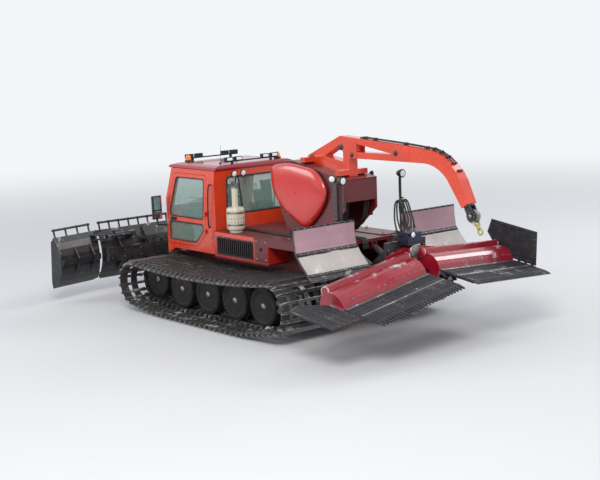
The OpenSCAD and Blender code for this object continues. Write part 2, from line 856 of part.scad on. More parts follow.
// Rope drum: flanges, wound rope and shaft
module winch_drum() {
    h = half_tower - frame_t - 8;
    color("gray") placed() translate([drum_x, 0, drum_z]) rotate([90, 0, 0]) {
        rotate_extrude($fn = 40) polygon([
            [0, -half_tower + 2], [drum_pin, -half_tower + 2], [drum_pin, -h], [drum_r, -h], [drum_r, 30 - h],
            [drum_r - 70, 34 - h], [drum_r - 70, h - 34], [drum_r, h - 30], [drum_r, h], [drum_pin, h],
            [drum_pin, half_tower - 2], [0, half_tower - 2]
        ]);
    }
}

// Boom: a plate root, two chords that merge, and a box beam that bends down to the head
bend_x = winch_x - 3000;
bend_r = 700;
bend_turn = 60;
boom_h = 240;
head_dir = [-cos(bend_turn), 0, -sin(bend_turn)];
bend_end = [bend_x - (bend_r + boom_h / 2) * sin(bend_turn), 0,
    boom_z - bend_r + (bend_r + boom_h / 2) * cos(bend_turn)];
head_run = (bend_end.x - (winch_x - boom_reach)) / cos(bend_turn);
head_at = bend_end + head_dir * head_run;
swivel_at = head_at - head_dir * 190;
beam_side = [sin(bend_turn), 0, -cos(bend_turn)];

module boom() {
    tip = [swivel_at.x, swivel_at.z];
    side = [beam_side.x, beam_side.z];
    outline = concat(
        [[-2120, top_z(-2120) + seat], [-2120, boom_z]],
        arc(bend_x, boom_z - bend_r, bend_r, 90, 90 + bend_turn, 6),
        [tip + side * 85, tip - side * 85],
        arc(bend_x, boom_z - bend_r, bend_r + boom_h, 90 + bend_turn, 90, 6),
        [[-3450, 3345], [-1890, 3450], [-1000, 3060], [-960, top_z(-960) + seat]]
    );
    slot = rounded([[-3230, 3180], [-2250, 3175], [-2250, 3325], [-2300, 3325]], 30, 3);
    notch = rounded([[-1960, 2990], [-1960, 3330], [-1480, 3080], [-1480, 3060]], 30, 3);
    color("orangered") placed() {
        difference() {
            slab([for (i = [len(outline) - 1:-1:0]) outline[i]], -boom_w / 2, boom_w / 2);
            slab(slot, -boom_w, boom_w);
            slab(notch, -boom_w, boom_w);
        }
        for (x = [-1120, -2060]) block(x - 60, x + 60, -half_tower + 60, half_tower - 60,
            top_z(x + 60) + seat, top_z(x + 60) + 90);
    }
}

// Height of the tower's top plate at x
function top_z(x) = let (a = top_line[1], b = top_line[2])
    a.y + (b.y - a.y) * (x - a.x) / (b.x - a.x) + 25.6;

// Blade: outlines of the mouldboard, which is hollow towards the front
mould_r = 750;
mould_low = blade_lift_z + 50;
mould_top = mould_low + blade_h;
mould_z = (mould_low + mould_top) / 2;
mould_half = asin(blade_h / 2 / mould_r);
lip_x = blade_x + mould_r - mould_r * cos(mould_half);
mould = arc(blade_x + mould_r, mould_z, mould_r, 180 - mould_half, 180 + mould_half, 8);
edge_line = [[lip_x - 12, mould_low + 40], [lip_x + 78, blade_lift_z + 14]];
yaw_x = 3400;
tilt_z = 640;
tilt_pin = 50;
yaw_hub_r = 95;
hub_clear = yaw_hub_r + 10;
fork_z = [424, 556];
fold_x = lip_x;
fold_y = blade_w / 2 + 12;
rail_z = mould_top + 150;
rail_x = lip_x + 40;
knuckle_r = 26;
fold_pin = 14;

// The part's origin lies under the middle of its whole length
cheek_r = 95;
hook_run = cheek_r + seat + 195;
ring_out = 61;
edge_half = 13;
edge_dir = (edge_line[1] - edge_line[0]) / norm(edge_line[1] - edge_line[0]);
front_end = edge_line[1].x - edge_dir.y * edge_half;
rear_end = head_at.x + head_dir.x * hook_run - ring_out;
mid_x = (front_end + rear_end) / 2;

// Swivel fork at the boom's end
cheek_y = 55;
module boom_head() {
    color("dimgray") placed() translate(swivel_at) rotate([0, 180 + 90 - bend_turn, 0]) {
        translate([0, 0, seat]) cylinder(r = 85, h = 30, $fn = 32);
        difference() {
            for (s = [-1, 1]) translate([0, s * cheek_y - 9, 20]) {
                translate([-70, 0, 0]) cube([140, 18, 170]);
                translate([0, 18, 170]) rotate([90, 0, 0]) cylinder(r = cheek_r, h = 18, $fn = 32);
            }
            translate([0, 100, 190]) rotate([90, 0, 0]) cylinder(r = 20 + seat, h = 200, $fn = 24);
        }
    }
}

module boom_sheave() {
    color("silver") placed() translate(head_at) rotate([90, 0, 0]) {
        rotate_extrude($fn = 40) polygon([
            [0, -40], [sheave_r, -40], [sheave_r, -28], [sheave_r - 30, -8], [sheave_r - 30, 8],
            [sheave_r, 28], [sheave_r, 40], [0, 40]
        ]);
        translate([0, 0, -cheek_y - 20]) cylinder(r = 20, h = 2 * cheek_y + 40, $fn = 24);
    }
}

// Hook block parked under the head
module rope_hook() {
    z = cheek_r + seat;
    color("khaki") placed() translate(swivel_at) rotate([0, 180 + 90 - bend_turn, 0]) translate([0, 0, 190]) {
        for (s = [-1, 1]) translate([-14, s * cheek_y - 9, z]) cube([28, 18, 60]);
        translate([-14, -cheek_y - 9, z + 50]) cube([28, 2 * cheek_y + 18, 30]);
        translate([0, 0, z + 80]) cylinder(r = 32, h = 60, $fn = 24);
        translate([0, 0, z + 195]) rotate([90, 0, 0]) rotate_extrude($fn = 32) translate([46, 0]) circle(r = 15, $fn = 16);
    }
}

// Back of the mouldboard at height z
function mould_back(z) = blade_x + mould_r - sqrt(pow(mould_r, 2) - pow(z - mould_z, 2)) - blade_t / 2;

blade_eye = [3090, 600];
blade_base = [2420, 960];
blade_cyl_y = 190;

module blade_frame() {
    color("dimgray") placed() {
        both_sides() {
            difference() {
                link(blade_pivot, [3230, 480], eye_r, 72, blade_arm_y - eye_half, blade_arm_y + eye_half);
                pin_y(blade_pivot.x, blade_pivot.y, pin_r + seat, 0, half_tub);
            }
            intersection() {
                ears_open(blade_eye.x, blade_eye.y, blade_cyl_y, [3190, 500], 30);
                block(2900, 3193, 0, 400, 300, 800);
            }
        }
        block(3150, yaw_x - hub_clear, -blade_arm_y, blade_arm_y, 396, 570);
        for (z = [fork_z[0] - 42, fork_z[1] + 2])
            plate([[3200, -300], [3300, -220], [yaw_x, -90], [yaw_x + 80, -40], [yaw_x + 80, 40],
                [yaw_x, 90], [3300, 220], [3200, 300]], z, z + 40);
        pin_z(yaw_x, 0, 45, fork_z[0] - 42, fork_z[1] + 42);
    }
}

// Two ears with no pin, for a rod's eye that drifts a little between them
module ears_open(x, z, y, root, half) {
    for (s = [-1, 1]) {
        a = y + s * (half + 2);
        b = a + s * 20;
        link([x, z], root, 50, 60, min(a, b), max(a, b));
    }
}

module blade_carrier() {
    color("dimgray") placed() {
        difference() {
            union() {
                pin_z(yaw_x, 0, yaw_hub_r, fork_z[0], fork_z[1]);
                block(yaw_x, 3600, -90, 90, fork_z[0], fork_z[1]);
                slab([[yaw_x + 100, fork_z[0]], [3740, 500], [3740, 740], [3600, 720], [yaw_x + 100, fork_z[1]]], -90, 90);
            }
            pin_z(yaw_x, 0, 45 + seat, fork_z[0] - 1, fork_z[1] + 1);
        }
        pin_x(0, tilt_z, 110, 3740, 3780);
        pin_x(0, tilt_z, tilt_pin, 3780, 3905);
    }
}

module blade_board(y0, y1) {
    slab(strip(mould, blade_t), y0, y1);
    slab(strip(edge_line, 2 * edge_half), y0, y1);
}

// Horizontal knuckle plates of a wing hinge, at heights z
fold_heights = [mould_top - 40, mould_low + 70];
wing_base = [3960, blade_w / 2 - 750];
wing_eye_in = [-280, 20];
wing_cyl_z = mould_top - 120;

module blade_center() {
    ribs = [for (q = [-1, -0.4, 0.4, 1]) q * (blade_w / 2 - 400)];
    color("black") placed() {
        difference() {
            blade_board(-blade_w / 2, blade_w / 2);
            both_sides() translate([0, blade_w / 2, 0])
                plate([[fold_x, 0], [fold_x + 300, -300 * tan(38)], [fold_x + 300, 50], [fold_x, 50]], 0, mould_top + 50);
            both_sides() for (z = fold_heights)
                pin_z(fold_x, fold_y, knuckle_r + gap, z - 15 - gap / 2, z + 15 + gap / 2);
        }
        difference() {
            block(3880, mould_back(mould_z + 140) + 8, 60 - blade_w / 2, blade_w / 2 - 60, mould_z - 140, mould_z + 140);
            block(3900, mould_back(mould_z), 100 - blade_w / 2, blade_w / 2 - 100, mould_z - 120, mould_z + 120);
        }
        difference() {
            union() {
                pin_x(0, tilt_z, 110, 3790, 3910);
                block(3790, 3910, -110, 110, tilt_z, mould_z - 120);
            }
            pin_x(0, tilt_z, tilt_pin + seat, 3780, 3911);
        }
        for (y = ribs) slab([
            [3890, mould_z - 130], [mould_back(mould_low + 60) + 4, mould_low + 60], [mould_back(mould_low + 160) + 4, mould_low + 160],
            [mould_back(mould_z) + 4, mould_z], [mould_back(mould_top - 160) + 4, mould_top - 160],
            [mould_back(mould_top - 30) + 4, mould_top - 30], [mould_back(mould_top - 30) - 40, mould_top - 30],
            [3890, mould_z + 130]
        ], y - 12, y + 12);
        rail(-blade_w / 2 + 60, blade_w / 2 - 60, 13);
        both_sides() {
            fold_center();
            for (s = [-1, 1]) plate([
                [wing_base.x, wing_base.y - 45], [mould_back(wing_cyl_z) + 6, wing_base.y - 110],
                [mould_back(wing_cyl_z) + 6, wing_base.y + 110], [wing_base.x, wing_base.y + 45],
                [wing_base.x - 40, wing_base.y]
            ], wing_cyl_z + s * 42 - 10, wing_cyl_z + s * 42 + 10);
            pin_z(wing_base.x, wing_base.y, 20, wing_cyl_z - 50, wing_cyl_z + 50);
        }
    }
}

// Tube rail over the mouldboard on curved upright bars
module rail(y0, y1, count) {
    pin_y(rail_x, rail_z, 24, y0, y1);
    step = (y1 - y0 - 60) / (count - 1);
    line = [[lip_x - 8, mould_top - 20], [lip_x + 22, mould_top + 60], [rail_x, rail_z]];
    for (i = [0:count - 1]) slab(strip(line, 26), y0 + 15 + i * step, y0 + 45 + i * step);
}

// Hinge knuckles of the middle panel and of a wing, round the fold axis
module fold_center() {
    for (z = fold_heights) {
        for (s = [-1, 1]) plate([
            [fold_x - 40, blade_w / 2 - 90], [fold_x + 4, blade_w / 2 - 90], [fold_x + 17, fold_y - 20],
            [fold_x + 17, fold_y + 3], [fold_x + 9, fold_y + 14], [fold_x - 10, fold_y + 14],
            [fold_x - 24, fold_y], [fold_x - 60, blade_w / 2 - 40]
        ], z + s * 27 - 10, z + s * 27 + 10);
        pin_z(fold_x, fold_y, fold_pin, z - 37, z + 37);
    }
}

module wing_solid() {
    plan = [
        [0, 20], [200, 20 + 200 * tan(38)], [200, wing_l], [-400, wing_l], [-400, 20 + 400 * tan(22)]
    ];
    difference() {
        union() {
            intersection() {
                translate([-fold_x, 0, 0]) union() {
                    blade_board(0, wing_l);
                    slab([
                        [mould_back(mould_z) - 60, mould_z - 60], [mould_back(mould_z) + 14, mould_z - 60],
                        [mould_back(mould_z) + 14, mould_z + 60], [mould_back(mould_z) - 60, mould_z + 60]
                    ], 100, wing_l - 20);
                    for (y = [330, 760]) slab([
                        [mould_back(mould_z) - 90, mould_z - 60], [mould_back(mould_low + 80) + 4, mould_low + 80],
                        [mould_back(mould_z) + 4, mould_z], [mould_back(mould_top - 40) + 4, mould_top - 40],
                        [mould_back(mould_z) - 90, mould_z + 60]
                    ], y - 10, y + 10);
                }
                plate(plan, 0, mould_top + 300);
            }
            translate([-fold_x, 0, 0]) {
                slab([
                    [blade_x - 30, mould_z + 180], [blade_x - 30, mould_z - 200], [lip_x - 60, mould_low],
                    [lip_x + 70, blade_lift_z + 10], [lip_x + 100, mould_low + 80], [lip_x + 60, mould_top - 80],
                    [lip_x - 30, mould_top]
                ], wing_l - 24, wing_l);
                rail(150, wing_l - 40, 4);
            }
            for (z = fold_heights) {
                pin_z(0, 0, knuckle_r, z - 15, z + 15);
                plate([[-26, 0], [20, 6], [0, 90], [-60, 90]], z - 15, z + 15);
            }
            for (s = [-1, 1]) plate([
                [wing_eye_in.x - 45, wing_eye_in.y - 35], [wing_eye_in.x + 60, wing_eye_in.y - 35],
                [-45, 120], [-45, 260], [wing_eye_in.x - 45, wing_eye_in.y + 60]
            ], wing_cyl_z + s * 46 - 10, wing_cyl_z + s * 46 + 10);
        }
        for (z = fold_heights) pin_z(0, 0, fold_pin + seat, z - 16, z + 16);
    }
}

module blade_wing(side) {
    color("black") placed() mirror([0, side < 0 ? 1 : 0, 0])
        translate([fold_x, fold_y, 0]) rotate([0, 0, wing_back]) wing_solid();
}

module blade_wing_left() {
    blade_wing(1);
}

module blade_wing_right() {
    blade_wing(-1);
}

// Barrel of a cylinder along local X from its eye at the origin
module barrel(len, r, rod_r, pin, half) {
    neck = pin + 45;
    rotate([0, 90, 0]) difference() {
        union() {
            translate([0, 0, neck]) cylinder(r = r, h = len - neck, $fn = 32);
            translate([0, half, 0]) rotate([90, 0, 0]) cylinder(r = pin + 22, h = 2 * half, $fn = 32);
            translate([-pin - 10, -half, 0]) cube([2 * pin + 20, 2 * half, neck + 5]);
        }
        translate([0, 0, neck + 20]) cylinder(r = rod_r + 1, h = len, $fn = 32);
        translate([0, half + 1, 0]) rotate([90, 0, 0]) cylinder(r = pin + seat, h = 2 * half + 2, $fn = 32);
    }
}

// Rod along local X from start to its eye at len
module rod(start, len, r, half) {
    rotate([0, 90, 0]) {
        translate([0, 0, start]) cylinder(r = r, h = len - 72 - start, $fn = 32);
        translate([-20, -half, len - 80]) cube([40, 2 * half, 80]);
        translate([0, half, len]) rotate([90, 0, 0]) cylinder(r = 32, h = 2 * half, $fn = 32);
    }
}

// Places a cylinder that starts at (a.x, y, a.y) and points to b in the X-Z plane
module along(a, b, y) {
    v = b - a;
    translate([a.x, y, a.y]) rotate([0, -atan2(v.y, v.x), 0]) children();
}

blade_cyl = norm(blade_eye - blade_base);
lift_r = 52;
lift_rod_r = 32;
wing_rod_r = 20;
module blade_barrels() {
    color("dimgray") placed() for (s = [-1, 1])
        along(blade_base, blade_eye, s * blade_cyl_y) barrel(500, lift_r, lift_rod_r, pin_r, 28);
}

module blade_rods() {
    color("silver") placed() for (s = [-1, 1])
        along(blade_base, blade_eye, s * blade_cyl_y) rod(280, blade_cyl, lift_rod_r, 28);
}

// Eye of a wing cylinder's rod, in plan
wing_eye = [fold_x, fold_y] + [
    wing_eye_in.x * cos(wing_back) - wing_eye_in.y * sin(wing_back),
    wing_eye_in.x * sin(wing_back) + wing_eye_in.y * cos(wing_back)
];
wing_cyl = norm(wing_eye - wing_base);

module wing_line(side) {
    v = wing_eye - wing_base;
    placed() mirror([0, side < 0 ? 1 : 0, 0]) translate([wing_base.x, wing_base.y, wing_cyl_z])
        rotate([0, 0, atan2(v.y, v.x)]) rotate([90, 0, 0]) children();
}

module wing_barrel_left() {
    color("dimgray") wing_line(1) barrel(560, 36, wing_rod_r, 20, 30);
}

module wing_barrel_right() {
    color("dimgray") wing_line(-1) barrel(560, 36, wing_rod_r, 20, 30);
}

module wing_rod_left() {
    color("silver") wing_line(1) rod(200, wing_cyl, wing_rod_r, 30);
}

module wing_rod_right() {
    color("silver") wing_line(-1) rod(200, wing_cyl, wing_rod_r, 30);
}

// Tiller: the lift frame, the links above it and the carrier move as a parallelogram
plate_x = lower_nose.x - 90;
flex_z = rotor_z + 350;
flex_pin = 50;
half_in = 190;
hood_r = 290;
hood_t = 14;
lift_eye = lower_pivot + 0.7 * frame_reach;
shaft_r = 40;

module tiller_frame() {
    color("dimgray") placed() {
        both_sides() {
            difference() {
                link(lower_pivot, lower_nose, eye_r, eye_r, tiller_arm_y - eye_half, tiller_arm_y + eye_half);
                for (p = [lower_pivot, lower_nose]) pin_y(p.x, p.y, pin_r + seat, 0, half_tub);
            }
            ears_open(lift_eye.x, lift_eye.y, lift_base_y, lower_pivot + 0.52 * frame_reach, 30);
        }
        for (t = [0.22, 0.5]) let (p = lower_pivot + t * frame_reach)
            pin_y(p.x, p.y, 45, -tiller_arm_y, tiller_arm_y);
    }
}

module tiller_links() {
    color("dimgray") placed() for (s = [-1, 1]) difference() {
        link(upper_pivot, upper_nose, 55, 55, s * tiller_link_y - 28, s * tiller_link_y + 28);
        for (p = [upper_pivot, upper_nose]) pin_y(p.x, p.y, pin_r + seat, -half_tub, half_tub);
    }
}

module tiller_carrier() {
    color("dimgray") placed() {
        both_sides() intersection() {
            union() {
                ears(lower_nose.x, lower_nose.y, tiller_arm_y, [plate_x, lower_nose.y]);
                ears(upper_nose.x, upper_nose.y, tiller_link_y, [plate_x, upper_nose.y], 30);
            }
            block(plate_x - 5, plate_x + 400, 0, half_tub, 1000, 1800);
        }
        difference() {
            block(plate_x - 50, plate_x, -480, 480, 1110, 1700);
            for (y = [-1, 1]) block(plate_x - 60, plate_x + 10, y * 290 - 110, y * 290 + 110, 1290, 1600);
        }
        pin_x(0, flex_z, flex_pin, plate_x - 240, plate_x - 50);
        block(plate_x - 60, plate_x, -160, 160, 1700, 1850);
        block(plate_x - 260, plate_x - 50, -150, 150, flex_z + 110, 1850);
        bar([plate_x - 30, 0, 1850], [plate_x + 20, 0, 2380], 22);
        bar([plate_x + 20, -90, 2360], [plate_x + 20, 90, 2360], 16);
    }
}

lift_cyl = norm(lift_eye - lift_base);
module tiller_barrels() {
    color("dimgray") placed() for (s = [-1, 1])
        along(lift_base, lift_eye, s * lift_base_y) barrel(640, lift_r, lift_rod_r, pin_r, 28);
}

module tiller_rods() {
    color("silver") placed() for (s = [-1, 1])
        along(lift_base, lift_eye, s * lift_base_y) rod(110, lift_cyl, lift_rod_r, 28);
}

// Places a half of the tiller: side 1 is the left, -1 the right
module half(side) {
    placed() translate([0, 0, flex_z]) rotate([side > 0 ? -droop_left : droop_right, 0, 0])
        translate([0, 0, -flex_z]) mirror([0, side < 0 ? 1 : 0, 0]) children();
}

hood_arc = arc(rotor_x, rotor_z, hood_r + hood_t / 2, -12, 168, 12);
comb_at = [rotor_x - (hood_r + hood_t) * cos(12) - seat, rotor_z + (hood_r + hood_t) * sin(12)];
comb_slope = 8;
comb_t = 18;
end_t = 24;
lug_x = [[plate_x - 150, plate_x - 75], [plate_x - 235, plate_x - 160]];

module tiller_half(side) {
    lug = lug_x[side > 0 ? 0 : 1];
    end_plate = concat(
        arc(rotor_x, rotor_z, hood_r + hood_t, -12, 168, 12),
        [[rotor_x - 250, rotor_z - 120], [rotor_x - 120, rotor_z - 205], [rotor_x + 150, rotor_z - 205]]
    );
    color("crimson") half(side) {
        slab(strip(hood_arc, hood_t), half_in, rotor_l);
        difference() {
            for (y = [half_in, rotor_l]) slab(end_plate, y, y + end_t);
            pin_y(rotor_x, rotor_z, shaft_r + seat, 0, rotor_l + 100);
        }
        slab(rounded([
            [rotor_x + 40, rotor_z + 280], [rotor_x + 200, rotor_z + 200], [rotor_x + 240, rotor_z + 300],
            [rotor_x + 180, rotor_z + 380], [rotor_x + 60, rotor_z + 390]
        ], 20, 2), half_in, rotor_l);
        difference() {
            union() {
                pin_x(0, flex_z, 88, lug[0], lug[1]);
                section([[0, flex_z - 80], [half_in + 40, rotor_z + 260], [half_in + 340, rotor_z + 300],
                    [half_in + 340, rotor_z + 386], [half_in, flex_z + 80], [0, flex_z + 80]], lug[0], lug[1]);
            }
            pin_x(0, flex_z, flex_pin + seat, lug[0] - 1, lug[1] + 1);
        }
    }
}

module tiller_left() {
    tiller_half(1);
}

module tiller_right() {
    tiller_half(-1);
}

// Rotor tube with rows of tine discs, each turned a little from the last
tine_step = 130;
tine_turn = 22;
module rotor(side) {
    a = half_in + end_t + 8;
    b = rotor_l - 8;
    count = floor((b - a - 120) / tine_step);
    star = [for (i = [0:3]) for (q = [[0, rotor_r - 10], [14, tine_r - 15], [30, tine_r], [34, tine_r - 26], [42, rotor_r - 10]])
        [q[1] * cos(90 * i + q[0]), q[1] * sin(90 * i + q[0])]];
    color("gray") half(side) translate([rotor_x, 0, rotor_z]) rotate([-90, 0, 0]) {
        translate([0, 0, a]) cylinder(r = rotor_r, h = b - a, $fn = 40);
        translate([0, 0, half_in + 2]) cylinder(r = shaft_r, h = rotor_l + end_t - half_in - 4, $fn = 32);
        for (i = [0:count]) translate([0, 0, a + 60 + i * tine_step]) rotate(i * tine_turn)
            linear_extrude(26) polygon(star);
    }
}

module rotor_left() {
    rotor(1);
}

module rotor_right() {
    rotor(-1);
}

// Frame of the comb: the origin is at its front edge, X runs forward along its slope
module on_comb() {
    translate([comb_at.x, 0, comb_at.y]) rotate([0, -comb_slope, 0]) children();
}

comb_step = 72;
wing_hinge_y = rotor_l + end_t + 26;
wing_pin = 12;
wing_knuckles = [-430, -280, -130];

// Plate with ridges under it, from y0 to y1
function ridged(y0, y1) = let (n = floor((y1 - y0) / comb_step), s = (y1 - y0) / n) concat(
    [for (i = [0:n - 1]) for (q = [[0, 0], [0.3, -30], [0.62, -30], [0.9, 0]]) [y0 + (i + q[0]) * s, q[1] - comb_t]],
    [[y1, -comb_t], [y1, 0], [y0, 0]]
);

module comb(side) {
    y1 = wing_hinge_y - 26;
    color("darkslategray") half(side) on_comb() {
        difference() {
            section(ridged(half_in, y1), -comb_l, 0);
            slab([[-90, -comb_t - 32], [5, -comb_t + 3], [5, -comb_t - 32]], half_in - 1, y1 + 1);
        }
        for (x = wing_knuckles) block(x - 70, x - 12, y1 - 40, wing_hinge_y, -22, 0);
        pin_x(wing_hinge_y, -11, wing_pin, wing_knuckles[0] - 70, wing_knuckles[2] + 46);
    }
}

module comb_left() {
    comb(1);
}

module comb_right() {
    comb(-1);
}

// Side finisher that folds up about its hinge by turn degrees
module side_wing(side, turn) {
    a = 26;
    color("black") half(side) on_comb() translate([0, wing_hinge_y, -11]) rotate([turn, 0, 0]) {
        plate([[330, a], [-500, a], [-420, finisher_w], [640, finisher_w], [700, finisher_w - 250]], -7, 11);
        for (y = [a + 60, a + 200, a + 340])
            section([[y, -6], [y + 20, -30], [y + 50, -30], [y + 70, -6]], -410, 300);
        difference() {
            union() for (x = wing_knuckles) {
                pin_x(0, 0, 22, x - 4, x + 40);
                block(x - 4, x + 40, 0, a + 20, -7, 11);
            }
            pin_x(0, 0, wing_pin + seat, -comb_l, 100);
        }
    }
}

module side_wing_left() {
    side_wing(1, 0);
}

module side_wing_right() {
    side_wing(-1, 90);
}

frame_tub();
wheel_arms();
road_tyres();
wheel_rims();
drive_sprockets();
final_drives();
track_left();
track_right();
engine_block();
platform_deck();
side_panels();
side_grilles();
cab_shell();
roof_panel();
nose_panel();
cab_glass();
cab_seats();
control_console();
mirrors();
beacons();
roof_lights();
exhaust_stack();
snow_guards();
rear_lamp_posts();
slew_base();
door_left();
door_right();
door_glass_left();
door_glass_right();
winch_tower();
winch_covers();
winch_drum();
boom();
boom_head();
boom_sheave();
rope_hook();
blade_frame();
blade_carrier();
blade_center();
blade_wing_left();
blade_wing_right();
blade_barrels();
blade_rods();
wing_barrel_left();
wing_rod_left();
wing_barrel_right();
wing_rod_right();
tiller_frame();
tiller_links();
tiller_carrier();
tiller_barrels();
tiller_rods();
tiller_left();
tiller_right();
rotor_left();
rotor_right();
comb_left();
comb_right();
side_wing_left();
side_wing_right();
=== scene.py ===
import json
import math

import bpy
from mathutils import Matrix, Vector


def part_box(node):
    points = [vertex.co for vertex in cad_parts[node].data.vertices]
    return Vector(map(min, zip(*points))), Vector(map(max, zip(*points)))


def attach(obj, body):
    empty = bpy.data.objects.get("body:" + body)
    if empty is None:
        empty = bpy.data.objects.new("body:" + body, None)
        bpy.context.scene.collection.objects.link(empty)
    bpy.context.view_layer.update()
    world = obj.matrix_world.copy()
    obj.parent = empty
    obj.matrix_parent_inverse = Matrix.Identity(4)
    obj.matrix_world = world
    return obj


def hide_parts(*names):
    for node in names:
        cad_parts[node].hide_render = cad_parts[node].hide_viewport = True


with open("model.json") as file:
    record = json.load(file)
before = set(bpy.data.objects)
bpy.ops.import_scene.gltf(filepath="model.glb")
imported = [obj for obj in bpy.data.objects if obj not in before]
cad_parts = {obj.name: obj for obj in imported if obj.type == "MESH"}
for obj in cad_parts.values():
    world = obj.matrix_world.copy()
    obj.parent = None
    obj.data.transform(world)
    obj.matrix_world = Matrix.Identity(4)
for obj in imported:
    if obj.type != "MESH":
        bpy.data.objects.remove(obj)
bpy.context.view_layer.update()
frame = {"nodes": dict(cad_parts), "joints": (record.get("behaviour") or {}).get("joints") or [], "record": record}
print("frame loaded:", len(frame["nodes"]), "nodes")


class Wire:
    # Wraps one socket, so that shader maths reads as plain sums
    def __init__(self, graph, socket):
        self.graph = graph
        self.socket = socket

    def sum(self, operation, first, second):
        return self.graph.add("ShaderNodeMath", {"operation": operation}, {0: first, 1: second})

    def __add__(self, other):
        return self.sum("ADD", self, other)

    def __sub__(self, other):
        return self.sum("SUBTRACT", self, other)

    def __rsub__(self, other):
        return self.sum("SUBTRACT", other, self)

    def __mul__(self, other):
        return self.sum("MULTIPLY", self, other)

    __radd__ = __add__
    __rmul__ = __mul__

    def over(self, low, high):
        # 0 below low, 1 above high, smooth between them
        settings = {"interpolation_type": "SMOOTHSTEP"}
        values = {"Value": self, "From Min": low, "From Max": high}
        return self.graph.add("ShaderNodeMapRange", settings, values)


class Graph:
    # One node tree, of the world or of a new material around its Principled shader
    def __init__(self, name, world=None):
        self.material = world or bpy.data.materials.new(name)
        self.material.use_nodes = True
        self.tree = self.material.node_tree
        self.shader = self.tree.nodes["Background" if world else "Principled BSDF"]
        self.place = self.add("ShaderNodeTexCoord", out="Object")

    def add(self, kind, settings=None, values=None, out=0):
        node = self.tree.nodes.new(kind)
        for key, setting in (settings or {}).items():
            setattr(node, key, setting)
        for key, value in (values or {}).items():
            self.join(node.inputs[key], value)
        return Wire(self, node.outputs[out])

    def join(self, socket, value):
        if isinstance(value, Wire):
            self.tree.links.new(value.socket, socket)
        elif socket.type == "RGBA":
            socket.default_value = (*value[:3], 1.0)
        else:
            socket.default_value = value

    def mix(self, factor, first, second):
        # Two colours; sockets 0, 6, 7 and output 2 are the ones that a colour mix uses
        return self.add("ShaderNodeMix", {"data_type": "RGBA"}, {0: factor, 6: first, 7: second}, out=2)

    def stretched(self, scale):
        return self.add("ShaderNodeMapping", None, {"Vector": self.place, "Scale": scale})

    def noise(self, scale, detail=3.0, where=None):
        values = {"Vector": where or self.place, "Scale": scale, "Detail": detail, "Roughness": 0.6}
        return self.add("ShaderNodeTexNoise", None, values, out="Fac")

    def cells(self, scale):
        return self.add("ShaderNodeTexVoronoi", None, {"Vector": self.place, "Scale": scale}, out="Distance")

    def bands(self, way, scale, where=None):
        values = {"Vector": where or self.place, "Scale": scale}
        return self.add("ShaderNodeTexWave", {"bands_direction": way}, values)

    def crystals(self, coarse, fine, share, start, width):
        # Patchy snow: coarse drifts broken up by fine grains
        drifts = self.noise(coarse, 6.0) * share + self.noise(fine) * (1 - share)
        return drifts.over(start, start + width)

    def axis(self, vector, letter):
        return self.add("ShaderNodeSeparateXYZ", None, {0: vector}, out=letter)

    def normal(self):
        return self.add("ShaderNodeNewGeometry", out="Normal")

    def up(self):
        return self.axis(self.normal(), "Z")

    def height(self):
        return self.axis(self.place, "Z")

    def edges(self, radius):
        # Near 1 where the surface bends sharply
        soft = self.add("ShaderNodeBevel", {"samples": 4}, {"Radius": radius})
        both = {0: self.normal(), 1: soft}
        dot = self.add("ShaderNodeVectorMath", {"operation": "DOT_PRODUCT"}, both, out="Value")
        return (1 - dot).over(0.01, 0.12)

    def bump(self, height, distance, strength):
        values = {"Height": height, "Distance": distance, "Strength": strength}
        self.set(Normal=self.add("ShaderNodeBump", None, values))

    def blend(self, factor, second, output):
        # Fades the tree's own shader into a second one on the way to its output
        first = Wire(self, self.shader.outputs[0])
        mixed = self.add("ShaderNodeMixShader", None, {0: factor, 1: first, 2: second})
        self.join(self.tree.nodes[output].inputs["Surface"], mixed)

    def set(self, **values):
        for key, value in values.items():
            self.join(self.shader.inputs[key.replace("_", " ")], value)
        return self.material


# Colours as they look on a screen, 0 to 255
colors = {
    "orangeRed": (228, 66, 30),
    "bodyRed": (196, 34, 28),
    "brightRed": (212, 34, 20),
    "crimson": (158, 16, 42),
    # The machine's red as it looks in shade: the red paint darkened as painted shade
    "shadedRed": (104, 20, 26),
    "cream": (222, 214, 192),
    "blackPaint": (34, 37, 41),
    "bladeBlack": (30, 31, 35),
    "steel": (150, 150, 150),
    "darkSteel": (92, 92, 92),
    "castGray": (78, 80, 80),
    "rubber": (30, 30, 31),
    "trackRubber": (52, 48, 44),
    "guardRubber": (74, 70, 76),
    "combBlack": (30, 34, 44),
    "navy": (26, 30, 62),
    # A pale board as it looks in shade, tinted lilac: painted shade
    "shadedPale": (186, 150, 162),
    "chalk": (196, 190, 186),
    "plastic": (26, 27, 29),
    "amber": (242, 128, 14),
    "fabric": (44, 46, 54),
    "rope": (172, 164, 92),
    "snow": (232, 238, 244),
    "grime": (96, 88, 78),
    "glass": (150, 188, 176),
}

# Heights in metres over which road film and snow fade out
weather = {"filmLine": (0.5, 1.9), "snowLine": (1.5, 2.2)}


def color(name, brightness=1.0):
    # One of the colours in linear light, made brighter or darker
    def linear(value):
        share = value / 255
        return share / 12.92 if share < 0.04045 else ((share + 0.055) / 1.055) ** 2.4

    return tuple(linear(v) * brightness for v in colors[name])


